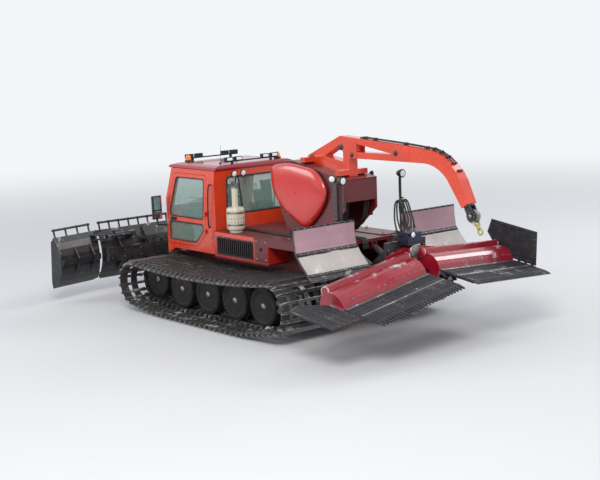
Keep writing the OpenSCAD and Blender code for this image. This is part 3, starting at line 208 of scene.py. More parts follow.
def paint(name, shade, roughness=0.3, coat=0.6, wear=0.5, snow=0.0, grime=0.35):
    # Sprayed paint over steel: faint patches, road film low down, bare edges
    g = Graph(name)
    patches = g.noise(1.3)
    base = g.mix(patches.over(0.3, 0.7), color(shade, 0.9), color(shade, 1.06))
    low = 1 - g.height().over(*weather["filmLine"])
    film = g.noise(5.0, 5.0).over(0.46, 0.74) * (low * 0.8 + 0.16) * grime
    base = g.mix(film, base, color("grime"))
    chips = g.edges(0.008) * g.noise(26.0).over(0.5, 0.66) * wear
    base = g.mix(chips, base, color("darkSteel"))
    rough = g.noise(9.0) * 0.12 + (roughness - 0.06) + film * 0.35
    if snow:
        crystals = g.crystals(3.2, 38.0, 0.75, 0.62 - 0.2 * snow, 0.1)
        cover = crystals * g.up().over(0.15, 0.8) * (1 - g.height().over(*weather["snowLine"]))
        base = g.mix(cover * 0.92, base, color("snow"))
        rough = rough + cover * 0.4
    g.set(Base_Color=base, Roughness=rough, Coat_Weight=coat, Coat_Roughness=0.12)
    g.bump(g.noise(160.0, 2.0), 0.0004, 0.35)
    return g.material


def steel(name, shade="steel", roughness=0.34, rust=0.0, polish=False, snow=0.0):
    # Ground or worn steel with fine draw lines
    g = Graph(name)
    lines = g.noise(1.0, 4.0, g.stretched((220.0, 14.0, 220.0)))
    base = g.mix(lines.over(0.3, 0.7), color(shade, 0.78), color(shade, 1.12))
    stains = g.noise(6.0, 5.0).over(0.52, 0.72)
    base = g.mix(stains * (0.25 + rust), base, (0.09, 0.045, 0.022) if rust else color("grime"))
    rough = lines * 0.16 + (roughness - 0.08) + stains * 0.2
    metal = 1 - stains * (0.25 + 0.6 * rust)
    if snow:
        cover = g.noise(4.0, 6.0).over(0.52, 0.62) * g.up().over(0.2, 0.8) * snow
        base = g.mix(cover, base, color("snow"))
        metal = metal * (1 - cover)
        rough = rough + cover * 0.35
    g.set(Base_Color=base, Roughness=0.07 if polish else rough, Metallic=metal)
    g.bump(lines, 0.0002 if polish else 0.0008, 0.3)
    return g.material


def rubber(name, shade="rubber", snow=0.0, ribs=0.0, roughness=0.72):
    # Moulded rubber with a dusty bloom; snow stays in its hollows
    g = Graph(name)
    bloom = g.noise(7.0, 5.0).over(0.4, 0.7)
    base = g.mix(bloom * 0.6, color(shade), color("grime", 0.5))
    base = g.mix(g.edges(0.01) * 0.4, base, color(shade, 2.2))
    grain = g.noise(120.0, 2.0)
    rough = grain * 0.14 + roughness - 0.04
    if snow:
        crystals = g.crystals(2.4, 46.0, 0.7, 0.66 - 0.24 * snow, 0.08)
        cover = crystals * g.up().over(-0.1, 0.6)
        base = g.mix(cover * 0.9, base, color("snow"))
    g.set(Base_Color=base, Roughness=rough)
    g.bump(grain * (1 - ribs) + g.cells(60.0) * ribs, 0.0012, 0.5)
    return g.material


def plastic(name, shade="plastic", roughness=0.5, texture=140.0):
    # Moulded plastic with a fine leather-like grain
    g = Graph(name)
    fade = g.noise(2.5).over(0.35, 0.7)
    base = g.mix(fade, color(shade, 0.85), color(shade, 1.25))
    base = g.mix(g.noise(6.0, 5.0).over(0.55, 0.75) * 0.3, base, color("grime"))
    grain = g.cells(texture)
    g.set(Base_Color=base, Roughness=grain * 0.2 + roughness - 0.05)
    g.bump(grain, 0.0008, 0.35)
    return g.material


def cast(name, shade="castGray"):
    # Rough casting with a grimy film
    g = Graph(name)
    grain = g.noise(75.0, 5.0)
    base = g.mix(grain.over(0.3, 0.7), color(shade, 0.75), color(shade, 1.2))
    base = g.mix(g.noise(8.0).over(0.52, 0.7) * 0.5, base, color("grime", 0.6))
    g.set(Base_Color=base, Roughness=grain * 0.2 + 0.5, Metallic=0.4)
    g.bump(grain, 0.002, 0.5)
    return g.material


def windowGlass(name, shade="glass", alpha=0.3, roughness=0.03):
    # Clear tinted glass with a thin dusty film
    g = Graph(name)
    dust = g.noise(9.0, 5.0).over(0.5, 0.85) * 0.12
    g.set(Base_Color=g.mix(dust * 2.0, color(shade), color("snow")), Alpha=dust + alpha)
    g.set(Roughness=dust * 0.8 + roughness, Coat_Weight=1.0, Coat_Roughness=0.02, Specular_IOR_Level=0.8)
    return g.material


def lens(name, shade, strength=0.0, alpha=0.62):
    # Moulded lamp lens with fine upright ribs
    g = Graph(name)
    ribs = g.bands("Y", 34.0)
    base = g.mix(ribs * 0.5, color(shade, 1.1), color(shade, 0.6))
    g.set(Base_Color=base, Roughness=0.12, Alpha=alpha, Coat_Weight=1.0, Coat_Roughness=0.03)
    g.bump(ribs, 0.003, 0.5)
    if strength:
        g.set(Emission_Color=base, Emission_Strength=strength)
    return g.material


def cloth(name, shade="fabric"):
    # Woven seat cloth: warp and weft bands, with a soft fuzz
    g = Graph(name)
    weave = g.bands("X", 150.0) * g.bands("Y", 150.0)
    base = g.mix(weave, color(shade, 0.7), color(shade, 1.5))
    base = g.mix(g.noise(4.0).over(0.4, 0.7) * 0.3, base, color(shade, 0.5))
    g.set(Base_Color=base, Roughness=0.9, Sheen_Weight=0.4)
    g.bump(weave, 0.001, 0.6)
    return g.material


def treadPlate(name, shade):
    # Painted deck sheet with raised bars that lie crosswise in turn
    g = Graph(name)
    tilted = g.add("ShaderNodeMapping", None, {"Vector": g.place, "Rotation": (0.0, 0.0, 0.785)})
    checks = g.add("ShaderNodeTexChecker", None, {"Vector": tilted, "Scale": 26.0}, out="Fac")
    first = g.bands("X", 16.5, tilted)
    second = g.bands("Y", 16.5, tilted)
    bars = (first * checks + second * (1 - checks)).over(0.55, 0.8)
    flat = g.up().over(0.8, 0.95)
    base = g.mix(g.noise(2.0).over(0.35, 0.7), color(shade, 0.85), color(shade, 1.1))
    base = g.mix(bars * flat * g.noise(11.0).over(0.42, 0.6) * 0.6, base, color("darkSteel"))
    base = g.mix(g.noise(4.0, 6.0).over(0.55, 0.75) * 0.35, base, color("grime"))
    g.set(Base_Color=base, Roughness=g.noise(12.0) * 0.2 + 0.34, Coat_Weight=0.2)
    g.bump(bars * flat, 0.004, 0.8)
    return g.material


finishes = {
    "orange_red": paint("orange_red", "orangeRed", 0.26, 0.8, 0.45),
    "body_red": paint("body_red", "bodyRed", 0.28, 0.7, 0.5),
    "bright_red": paint("bright_red", "brightRed", 0.22, 1.0, 0.3, grime=0.2),
    "crimson": paint("crimson", "crimson", 0.3, 0.7, 0.5, snow=0.25),
    # dark_red: the red paint with painted shade in its colour
    "dark_red": paint("dark_red", "shadedRed", 0.36, 0.4, 0.7),
    "cream": paint("cream", "cream", 0.38, 0.2, 0.3, grime=0.6),
    "black_steel": paint("black_steel", "blackPaint", 0.4, 0.2, 0.9, snow=0.1),
    "blade_black": paint("blade_black", "bladeBlack", 0.42, 0.15, 1.0, snow=0.25),
    "gray_steel": steel("gray_steel", "darkSteel", 0.42, 0.2),
    "steel": steel("steel", "steel", 0.3),
    "chrome": steel("chrome", "steel", 0.08, polish=True),
    "cast_gray": cast("cast_gray"),
    "tyre": rubber("tyre", "rubber", ribs=0.3),
    "track_rubber": rubber("track_rubber", "trackRubber", snow=0.5, ribs=0.5),
    "guard_rubber": rubber("guard_rubber", "guardRubber", snow=0.45),
    "comb_rubber": rubber("comb_rubber", "combBlack", snow=0.3, roughness=0.6),
    "black_plastic": plastic("black_plastic"),
    "glass": windowGlass("glass"),
    "amber": lens("amber", "amber", 0.25, 0.8),
    "seat_fabric": cloth("seat_fabric"),
    "rope_yellow": paint("rope_yellow", "rope", 0.4, 0.1, 0.8),
}
extra = {
    "bar": steel("track_bar", "steel", 0.44, 0.1, snow=0.55),
    "cleat": steel("cleat_steel", "darkSteel", 0.36),
    "bolt": steel("bolt_zinc", "steel", 0.4),
    "hose": rubber("hose_rubber", "rubber", roughness=0.55),
    "seal": rubber("seal_rubber", "rubber", roughness=0.6),
    "clear": lens("clear_lens", "snow", 0.35, 0.75),
    "mirror": steel("mirror_glass", "snow", 0.04, polish=True),
    # The deck plate takes the red with painted shade
    "deck": treadPlate("deck_plate", "shadedRed"),
    "wireRope": steel("wire_rope", "darkSteel", 0.45),
}
slots = {s["node"]: s["material_slot"] for s in frame["record"]["subparts"]}
for nodeName, nodeObject in frame["nodes"].items():
    nodeObject.data.materials.clear()
    nodeObject.data.materials.append(finishes[slots[nodeName]])
frame["nodes"]["platform_deck"].data.materials[0] = extra["deck"]
print("materials made:", len(finishes) + len(extra))


class Shape:
    # Gathers faces for one joined mesh, in metres from its place; mark picks the material of the next faces
    home = Matrix.Identity(4)

    def __init__(self, at=None):
        self.points = []
        self.faces = []
        self.smooth = []
        self.marks = []
        self.at = at or Shape.home
        self.mark = 0

    def put(self, points, faces, smooth=False):
        first = len(self.points)
        self.points += [self.at @ Vector(p) for p in points]
        flip = -1 if self.at.determinant() < 0 else 1  # a mirrored frame turns its faces round
        self.faces += [[first + i for i in face][::flip] for face in faces]
        self.smooth += [smooth] * len(faces)
        self.marks += [self.mark] * len(faces)

    def grid(self, rings, caps=True, smooth=True):
        # Skin over closed rings that all have as many points
        count = len(rings[0])
        points = [p for ring in rings for p in ring]
        faces = []
        for i in range(len(rings) - 1):
            for j in range(count):
                k = (j + 1) % count
                faces.append([i * count + j, i * count + k, (i + 1) * count + k, (i + 1) * count + j])
        self.put(points, faces, smooth)
        if caps:
            self.put(rings[0], [list(range(count))[::-1]])
            self.put(rings[-1], [list(range(count))])

    def box(self, low, high):
        (x, u), (y, v), (z, w) = (sorted(pair) for pair in zip(low, high))
        points = [(x, y, z), (u, y, z), (u, v, z), (x, v, z), (x, y, w), (u, y, w), (u, v, w), (x, v, w)]
        self.put(points, [[3, 2, 1, 0], [4, 5, 6, 7], [0, 1, 5, 4], [1, 2, 6, 5], [2, 3, 7, 6], [3, 0, 4, 7]])

    def prism(self, outline, low, high, axis="y"):
        # Outline in X-Z, or in Y-Z for the x axis; the two ends may come either way round
        low, high = sorted((low, high))

        def lift(p, h):
            return (h, *p) if axis == "x" else (p[0], h, p[1])

        self.grid([[lift(p, low) for p in outline], [lift(p, high) for p in outline]], smooth=False)

    def tube(self, path, radius, sides):
        # Round bar along a path, with one radius or one for each point
        path = [Vector(p) for p in path]
        rings = []
        side = None
        for i, p in enumerate(path):
            ahead = (path[min(i + 1, len(path) - 1)] - path[max(i - 1, 0)]).normalized()
            side = side or ahead.cross(Vector((0, 0, 1) if abs(ahead.z) < 0.9 else (1, 0, 0)))
            side = (side - ahead * side.dot(ahead)).normalized()
            over = ahead.cross(side)
            size = radius[i] if isinstance(radius, (list, tuple)) else radius
            angles = [2 * math.pi * k / sides for k in range(sides)]
            rings.append([p + (side * math.cos(a) + over * math.sin(a)) * size for a in angles])
        self.grid(rings)

    def lathe(self, profile, center, direction, sides, smooth=True):
        # Profile points are (distance along, radius)
        turn = Vector((0, 0, 1)).rotation_difference(Vector(direction))
        center = Vector(center)
        angles = [2 * math.pi * k / sides for k in range(sides)]
        rings = []
        for along, r in profile:
            ring = [Vector((r * math.cos(a), r * math.sin(a), along)) for a in angles]
            rings.append([center + turn @ p for p in ring])
        self.grid(rings, smooth=smooth)

    def bolt(self, center, direction, size):
        # Washer and hexagon head
        self.lathe([(0, size * 1.15), (size * 0.16, size * 1.15)], center, direction, 12, False)
        top = Vector(center) + Vector(direction).normalized() * size * 0.16
        head = [(0, size * 0.92), (size * 0.6, size * 0.92), (size * 0.72, size * 0.74)]
        self.lathe(head, top, direction, 6, False)

    def boltRing(self, center, direction, radius, count, size, start=0.0):
        # Bolts on a circle that is square to one of the axes
        x, y, z = center
        for k in range(count):
            a = math.radians(start + 360 / count * k)
            c, s = radius * math.cos(a), radius * math.sin(a)
            if direction[2]:
                self.bolt((x + c, y + s, z), direction, size)
            elif direction[1]:
                self.bolt((x + c, y, z + s), direction, size)
            else:
                self.bolt((x, y + c, z + s), direction, size)

    def cap(self, edge, top, center, direction, sides=20):
        # Chamfered disc; edge and top are (height, radius)
        self.lathe([(0, edge[1]), edge, top, (top[0], 0.0)], center, direction, sides)

    def taper(self, y, foot, tip):
        # Four-sided tooth at y; foot and tip are (half length, half width, height)
        rings = []
        for a, b, z in (foot, tip):
            rings.append([(-a, y - b, z), (a, y - b, z), (a, y + b, z), (-a, y + b, z)])
        self.grid(rings, smooth=False)

    def piece(self, name, body, materials, bevel=0.0, replaces=(), segments=2):
        # Finished object that rides on a body of the frame
        mesh = bpy.data.meshes.new(name)
        mesh.from_pydata(self.points, [], self.faces)
        for polygon, smooth, mark in zip(mesh.polygons, self.smooth, self.marks):
            polygon.use_smooth = smooth
            polygon.material_index = mark
        mesh.validate()
        mesh.update()
        made = bpy.data.objects.new(name, mesh)
        bpy.context.scene.collection.objects.link(made)
        for material in materials if isinstance(materials, list) else [materials]:
            mesh.materials.append(material)
        if bevel:
            edge = made.modifiers.new("edge", "BEVEL")
            edge.width = bevel
            edge.segments = segments
            edge.limit_method = "ANGLE"
            edge.angle_limit = math.radians(40)
        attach(made, body)
        if replaces:
            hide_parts(*replaces)


def arc(center, radius, start, end, count):
    # Points along an arc, with its angles in degrees
    angles = [math.radians(start + (end - start) * i / count) for i in range(count + 1)]
    return [(center[0] + radius * math.cos(a), center[1] + radius * math.sin(a)) for a in angles]


def smoothPath(points, steps=6):
    # Catmull-Rom curve through the points
    points = [Vector(p) for p in points]
    line = [points[0] * 2 - points[1]] + points + [points[-1] * 2 - points[-2]]
    made = []
    for a, b, c, d in zip(line, line[1:], line[2:], line[3:]):
        for i in range(steps):
            t = i / steps
            made.append(0.5 * (2 * b + (c - a) * t + (2 * a - 5 * b + 4 * c - d) * t**2
                               + (3 * b - a - 3 * c + d) * t**3))
    return made + [points[-1]]


def hosePipe(shape, points, radius):
    # Bent hose with a crimped collar at each end
    path = smoothPath(points)
    collar = [(0, radius * 1.5), (0.05, radius * 1.5), (0.055, radius * 1.1)]
    shape.tube(path, radius, 10)
    for end, inner in ((path[0], path[2]), (path[-1], path[-3])):
        shape.lathe(collar, end, (inner - end).normalized(), 10, False)


def hoses(name, body, paths, radius):
    # One piece of bent hoses that run alike on both sides of the machine
    shape = Shape()
    for side in (-1, 1):
        for path in paths:
            hosePipe(shape, [(x, side * y, z) for x, y, z in path], radius)
    shape.piece(name, body, extra["hose"])


def insetOutline(points, d):
    # Outline moved inwards by a distance, with its corners kept sharp
    made = []
    for i, b in enumerate(points):
        a, b, c = Vector(points[i - 1]), Vector(b), Vector(points[(i + 1) % len(points)])
        m = Vector((-(b - a).y, (b - a).x)).normalized()
        n = Vector((-(c - b).y, (c - b).x)).normalized()
        made.append(tuple(b + (m + n) * d / (1 + m.dot(n))))
    return made


def clipped(points, level, above):
    # Part of an outline above or below a height
    made = []
    for a, b in zip(points, points[1:] + points[:1]):
        insideA, insideB = (a[1] >= level) == above, (b[1] >= level) == above
        if insideA:
            made.append(a)
        if insideA != insideB:
            t = (level - a[1]) / (b[1] - a[1])
            made.append((a[0] + (b[0] - a[0]) * t, level))
    return made


def roundedOutline(points, radius, steps=5):
    # Outline whose corners are rounded by short curves
    made = []
    for i, corner in enumerate(points):
        b = Vector(corner)
        toA, toC = Vector(points[i - 1]) - b, Vector(points[(i + 1) % len(points)]) - b
        q = min(radius, toA.length / 2.1, toC.length / 2.1)
        for k in range(steps + 1):
            t = k / steps
            made.append(tuple(b + toA.normalized() * q * (1 - t) ** 2 + toC.normalized() * q * t**2))
    return made


def rectangle(x0, z0, x1, z1, radius, steps=3):
    # Rounded rectangle between two corners
    return roundedOutline([(x0, z0), (x1, z0), (x1, z1), (x0, z1)], radius, steps)


def scaled(outline, middle, share):
    # Outline drawn in towards a middle, or out from it
    mx, mz = middle
    return [(mx + (x - mx) * share, mz + (z - mz) * share) for x, z in outline]


def even(low, high, count):
    # Evenly spaced places with one at each end
    return [low + k * (high - low) / (count - 1) for k in range(count)]


def sealLoop(shape, points, outward, width=0.024, proud=0.007):
    # Flat rubber strip with a rounded lip along a closed line
    outward = Vector(outward).normalized()
    points = [Vector(p) for p in points]
    rings = []
    for i, p in enumerate(points):
        ahead = (points[(i + 1) % len(points)] - points[i - 1]).normalized()
        side = ahead.cross(outward).normalized() * width / 2
        rise = outward * proud
        base = [p - side - rise, p + side - rise]
        lip = [p + side * 0.5 + rise, p - side * 0.5 + rise]
        rings.append(base + [p + side + rise * 0.5] + lip + [p - side + rise * 0.5])
    shape.grid(rings + rings[:1], caps=False)


sideNames = {1: "left", -1: "right"}

# The blade's lift axis, from the tracks' middle and the ground; the joint gives the part's origin
pushPin = (2.43, 0.52)
joints = {j["name"]: j for j in frame["joints"]}
shiftX = joints["blade_lift"]["pos_m"][0] - pushPin[0]
Shape.home = Matrix.Translation((shiftX, 0, 0))

track = {
    "middle": 1.39,
    "width": 1.48,
    "wheels": [(-2.125, 0.62, 0.4), (-1.23, 0.46, 0.37), (1.29, 0.46, 0.37), (2.13, 0.56, 0.3705)],
    "sag": 0.11,
    "belt": 0.015,
    "bars": 71,
    "barHalf": 0.026,
    "barHeight": 0.0748,
    "barEnd": 0.09,
    "cleats": (-0.62, -0.4, -0.12, 0.12, 0.4, 0.62),
    "guides": (-0.235, 0.235),
    "beltBands": [(-0.72, -0.55), (-0.47, -0.33), (-0.16, -0.06), (0.06, 0.16), (0.33, 0.47), (0.55, 0.72)],
}


def trackLine(out):
    # Closed line round the wheels, anticlockwise seen from the right, as even points
    wheels = track["wheels"]
    fall = math.degrees(math.atan(4 * track["sag"] / (wheels[3][0] - wheels[0][0])))
    turns = []
    for (ax, az, ar), (bx, bz, br) in zip(wheels, wheels[1:] + wheels[:1]):
        span = math.hypot(bx - ax, bz - az)
        turns.append(math.degrees(math.atan2(bz - az, bx - ax) - math.acos((ar - br) / span)))
    starts = [turns[3] - fall, turns[0], turns[1], turns[2]]
    stops = [turns[0], turns[1], turns[2], turns[3] + fall]
    line = []
    for (x, z, r), start, stop in zip(wheels, starts, stops):
        while stop < start:
            stop += 360
        line += arc((x, z), r + out, start, stop, max(2, round((stop - start) / 4)))
    (ax, az), (bx, bz) = line[-1], line[0]
    for i in range(1, 40):
        t = i / 40
        line.append((ax + (bx - ax) * t, az + (bz - az) * t - 4 * track["sag"] * t * (1 - t)))
    return line


def evenly(line, count):
    # Points and directions at even steps along a closed line
    ends = line[1:] + line[:1]
    steps = [math.hypot(b[0] - a[0], b[1] - a[1]) for a, b in zip(line, ends)]
    total, made, i, passed = sum(steps), [], 0, 0.0
    for k in range(count):
        want = (k + 0.5) * total / count
        while passed + steps[i] < want:
            passed += steps[i]
            i += 1
        t = (want - passed) / steps[i]
        (ax, az), (bx, bz) = line[i], ends[i]
        ahead = ((bx - ax) / steps[i], (bz - az) / steps[i])
        made.append(((ax + (bx - ax) * t, az + (bz - az) * t), ahead))
    return made


def barSection(half, top):
    # Hat-shaped section of a cross bar: feet on the belt and a narrow tip
    left = [(-half, 0.0), (-half, 0.006), (-0.013, 0.010), (-0.006, top)]
    return left + [(-x, z) for x, z in left[::-1]]


def makeTrack(side, name):
    # Belt bands, cross bars with ice cleats, bolts, backing plates and guide teeth
    middle, half, top = side * track["middle"], track["width"] / 2, track["barHeight"]
    inner, outer = trackLine(0.0), trackLine(track["belt"])
    shape = Shape()

    def ring(line, y):
        return [(x, middle + y, z) for x, z in line]

    for low, high in track["beltBands"]:
        skin = [ring(inner, low), ring(outer, low + 0.002), ring(outer, high - 0.002), ring(inner, high)]
        shape.grid(skin + skin[:1], caps=False, smooth=False)
    flat = half - track["barEnd"]
    section = barSection(track["barHalf"], top)
    bar = []
    for y, share in ((-half, 0.45), (-flat, 0.93), (flat, 0.93), (half, 0.45)):
        bar.append([(x, y, z * (share if z > 0.02 else 1)) for x, z in section])
    for (x, z), (dx, dz) in evenly(outer, track["bars"]):
        turn = Matrix(((dx, 0, dz, x), (0, 1, 0, middle), (dz, 0, -dx, z), (0, 0, 0, 1)))
        shape.at = Shape.home @ turn
        shape.mark = 1
        shape.grid(bar, smooth=False)
        shape.mark = 2
        for y in track["cleats"]:
            shape.taper(y, (0.012, 0.028, 0.03), (0.003, 0.012, top * 0.93 + 0.004))
        for low, high in track["beltBands"]:
            shape.mark = 3
            for y in ((low + high) / 2 - 0.03, (low + high) / 2 + 0.03):
                for px in (-0.019, 0.019):
                    shape.lathe([(0.0, 0.006), (0.006, 0.005)], (px, y, 0.006), (0, 0, 1), 6, False)
            shape.mark = 1
            shape.box((-0.024, low + 0.01, -0.021), (0.024, high - 0.01, -0.0152))
        shape.mark = 0
        for y in track["guides"]:
            shape.taper(y, (0.016, 0.02, -0.06), (0.03, 0.05, -0.016))
    materials = [finishes["track_rubber"], extra["bar"], extra["cleat"], extra["bolt"]]
    replaced = "track_left" if side > 0 else "track_right"
    shape.piece(name, "root", materials, replaces=(replaced,))


makeTrack(1, "left_track")
makeTrack(-1, "right_track")

wheels = {
    "places": [(2.13, 0.56), (1.29, 0.4603), (0.45, 0.4603), (-0.39, 0.4603), (-1.23, 0.4603)],
    "radius": 0.368,
    "halfWidth": 0.105,
    "rim": 0.265,
    "blockTurn": 10,
    "blockY": 0.079,
    "nutCircle": 0.092,
    "sprocket": (-2.125, 0.62),
    "sprocketHalf": 0.131,
    "sprocketCircle": 0.165,
}


def makeTyres():
    # Ribbed tyres with side-wall steps and shoulder blocks
    shape = Shape()
    r, h, rim = wheels["radius"], wheels["halfWidth"], wheels["rim"]
    wall = [(-h + 0.022, rim), (-h + 0.004, rim + 0.02), (-h, rim + 0.045), (-h + 0.004, r - 0.035)]
    crown = [(-h + 0.02, r - 0.012), (-0.062, r - 0.003), (-0.036, r)]
    groove = [(-0.033, r - 0.011), (-0.021, r - 0.011), (-0.018, r)]
    half = wall + crown + groove
    profile = half + [(-along, radius) for along, radius in half[::-1]]
    for side in (-1, 1):
        for x, z in wheels["places"]:
            hub = (x, side * track["middle"], z)
            shape.at = Shape.home
            shape.lathe(profile, hub, (0, 1, 0), 40)
            for angle in range(0, 360, wheels["blockTurn"]):
                turn = Matrix.Translation(hub) @ Matrix.Rotation(math.radians(angle), 4, "Y")
                shape.at = Shape.home @ turn
                for y in (-wheels["blockY"], wheels["blockY"]):
                    shape.box((-0.018, y - 0.013, r - 0.02), (0.018, y + 0.013, r - 0.0035))
    shape.piece("wheel_tyres", "root", finishes["tyre"], replaces=("road_tyres",))


def makeWheelFittings():
    # Wheel nuts, hub caps and the sprockets' bolts
    shape = Shape()
    hubCap = [(0, 0.07), (0.02, 0.068), (0.034, 0.05), (0.04, 0.0)]
    sx, sz = wheels["sprocket"]
    for side in (-1, 1):
        middle = side * track["middle"]
        for face in (-1, 1):
            for x, z in wheels["places"]:
                if face == side:
                    shape.lathe(hubCap, (x, middle + face * 0.0605, z), (0, face, 0), 20)
                shape.boltRing((x, middle + face * 0.035, z), (0, face, 0), wheels["nutCircle"], 6, 0.012)
            spot = (sx, middle + face * wheels["sprocketHalf"], sz)
            shape.boltRing(spot, (0, face, 0), wheels["sprocketCircle"], 10, 0.014)
    shape.piece("wheel_nuts", "root", extra["bolt"])


makeTyres()
makeWheelFittings()
print("tracks and wheels done")

cab = {
    "halfWidth": 1.05,
    "lean": 0.09,
    "bend": 1.7,
    "wallHeight": 1.24,
    "screenFoot": (2.42, 1.9),
    "screenLean": (0.29, 1.04),
    "door": [(1.01, 1.52), (1.3, 1.235), (2.3, 1.235), (2.29, 1.95), (2.085, 2.65), (1.01, 2.65)],
    "doorFrame": 0.085,
    "doorBar": (1.69, 1.79),
    "windscreen": [(-0.85, 1.93), (0.85, 1.93), (0.79, 2.64), (-0.79, 2.64)],
    "rearWindow": [(-0.7, 1.88), (0.7, 1.88), (0.68, 2.6), (-0.68, 2.6)],
    "rear": 0.76,
    "grip": (1.98, 1.71, 2.16, 1.77),
    "gripZ": 1.74,
    "armRest": [(1.2, 1.4), (1.9, 1.4), (1.95, 1.52), (1.2, 1.56)],
    "doorInside": 0.98,
    "roofLampX": {1: 2.175, -1: 0.795},
    "roofLampY": (-0.56, -0.33, 0.33, 0.56),
    "roofLampZ": 2.937,
    "noseLamps": (2.492, 1.34),
    "mirrors": (0.088, 0.262),
    "aerial": (1.02, 0.62),
    "floor": 1.21,
    "seats": {"right": -0.48, "left": 0.33},
    "seatX": 1.33,
}


def wallY(z):
    # Half-width of the cab's outside at height z
    return cab["halfWidth"] - cab["lean"] * max(0.0, z - cab["bend"]) / cab["wallHeight"]


def screenX(z):
    # Front of the leaning windscreen at height z
    (x, foot), (back, rise) = cab["screenFoot"], cab["screenLean"]
    return x - back * (z - foot) / rise


def makeSeals():
    # Rubber seals round the doors, their two panes and the front and rear windows
    window = insetOutline(cab["door"], cab["doorFrame"])
    low, bar = cab["doorBar"]
    lower = roundedOutline(clipped(window, low, False), 0.05)
    upper = roundedOutline(clipped(window, bar, True), 0.06)
    gap = roundedOutline(insetOutline(cab["door"], 0.012), 0.06)
    for side, name in sideNames.items():
        shape = Shape()
        for outline in (lower, upper):
            line = [(x, side * (wallY(z) - 0.001), z) for x, z in outline]
            sealLoop(shape, line[::side], (0, side, 0.04))
        line = [(x, side * (wallY(z) - 0.006), z) for x, z in gap]
        sealLoop(shape, line[::side], (0, side, 0.04), 0.012, 0.004)
        shape.piece(f"door_{name}_seals", f"door_{name}", extra["seal"])
    shape = Shape()
    front = roundedOutline(cab["windscreen"], 0.07)
    sealLoop(shape, [(screenX(z) - 0.001, y, z) for y, z in front], (1, 0, 0.27), 0.034, 0.008)
    back = roundedOutline(cab["rearWindow"], 0.07)
    sealLoop(shape, [(cab["rear"] + 0.001, y, z) for y, z in back[::-1]], (-1, 0, 0), 0.034, 0.008)
    shape.piece("cab_window_seals", "root", extra["seal"])


def makeDoorFittings():
    # Grip and lock outside, arm rest and pull handle inside
    z = cab["gripZ"]
    for side, name in sideNames.items():
        shape = Shape()
        y = side * (wallY(z) + 0.001)
        foot, grip = y + side * 0.008, y + side * 0.036
        shape.prism(rectangle(*cab["grip"], 0.02), y, y + side * 0.012)
        path = smoothPath([(2.0, foot, z), (2.01, grip, z), (2.12, grip, z), (2.13, foot, z)], 4)
        shape.tube(path, 0.011, 10)
        shape.lathe([(0, 0.014), (0.008, 0.013), (0.01, 0.0)], (2.145, y + side * 0.01, z), (0, side, 0), 14)
        inner = side * cab["doorInside"]
        foot, grip = inner - side * 0.02, inner - side * 0.07
        rest = roundedOutline(cab["armRest"], 0.04, 3)
        shape.prism(rest, inner - side * 0.075, inner - side * 0.025)
        path = smoothPath([(1.98, foot, 1.72), (1.98, grip, 1.72), (1.7, grip, z), (1.7, foot, z)], 4)
        shape.tube(path, 0.012, 8)
        black = finishes["black_plastic"]
        shape.piece(f"door_{name}_fittings", f"door_{name}", black, bevel=0.002)


def makeWipers():
    # Two pantograph wipers, parked low on the windscreen
    shape = Shape()
    for y, reach in ((-0.42, 0.62), (0.42, -0.62)):
        foot = Vector((screenX(1.9) + 0.004, y, 1.885))
        shape.lathe([(0, 0.026), (0.03, 0.024), (0.04, 0.012)], foot, (1, 0, 0.25), 14)
        elbow = Vector((screenX(1.96) + 0.04, y + reach * 0.12, 1.95))
        tip = Vector((screenX(2.02) + 0.03, y + reach, 2.02))
        shape.tube([foot + Vector((0.03, 0, 0)), elbow, tip], 0.008, 8)
        shape.tube([foot + Vector((0.03, 0, 0.03)), elbow + Vector((0, 0, 0.03)), tip], 0.006, 8)
        strip = []
        for t in (0.0, 0.3, 0.7, 1.0):
            z = 1.97 + 0.1 * t
            across = max(-0.8, min(0.8, y + reach * (0.42 + t)))
            strip.append((screenX(z) + 0.014, across, z))
        shape.tube(strip, 0.009, 6)
    shape.piece("windscreen_wipers", "root", finishes["black_plastic"])


def lampFace(shape, center, direction, width, height, depth=0.012):
    # Bezel, reflector and bulged lens of a square work lamp
    direction = Vector(direction).normalized()
    side = Vector((0, 0, 1)).cross(direction).normalized()
    up = direction.cross(side)
    center = Vector(center)

    def ring(across, upwards, out):
        w, h = width / 2 * across, height / 2 * upwards
        base = rectangle(-w, -h, w, h, min(w, h) * 0.45)
        return [center + side * u + up * v + direction * (out * depth) for u, v in base]

    bezel = [(1, 1, 0.0005 / depth), (1, 1, 0.7), (0.93, 0.9, 1), (0.86, 0.82, 0.6)]
    bulge = [(0.88, 0.84, 0.5), (0.7, 0.66, 0.85), (0.3, 0.3, 0.98), (0.004 / width, 0.004 / height, 1)]
    shape.mark = 0
    shape.grid([ring(*step) for step in bezel], caps=False)
    shape.mark = 1
    shape.grid([ring(*step) for step in bulge])


def makeRoofLamps():
    # Work lamps over the cab's front and rear edges and in the nose, with turn lamps beside them
    ahead = (1, 0, 0.03)
    x, z = cab["noseLamps"]
    shape = Shape()
    for face, lampX in cab["roofLampX"].items():
        for y in cab["roofLampY"]:
            lampFace(shape, (lampX, y, cab["roofLampZ"]), (face, 0, 0), 0.15, 0.062)
    for side in (-1, 1):
        lampFace(shape, (x, side * 0.66, z), ahead, 0.19, 0.12, 0.02)
        lampFace(shape, (x, side * 0.42, z), ahead, 0.16, 0.12, 0.02)
    materials = [finishes["black_plastic"], extra["clear"]]
    shape.piece("work_lamp_lenses", "root", materials)
    shape = Shape()
    for side in (-1, 1):
        lampFace(shape, (x, side * 0.82, z), ahead, 0.09, 0.12, 0.016)
    shape.piece("nose_turn_lamps", "root", [finishes["black_plastic"], finishes["amber"]])


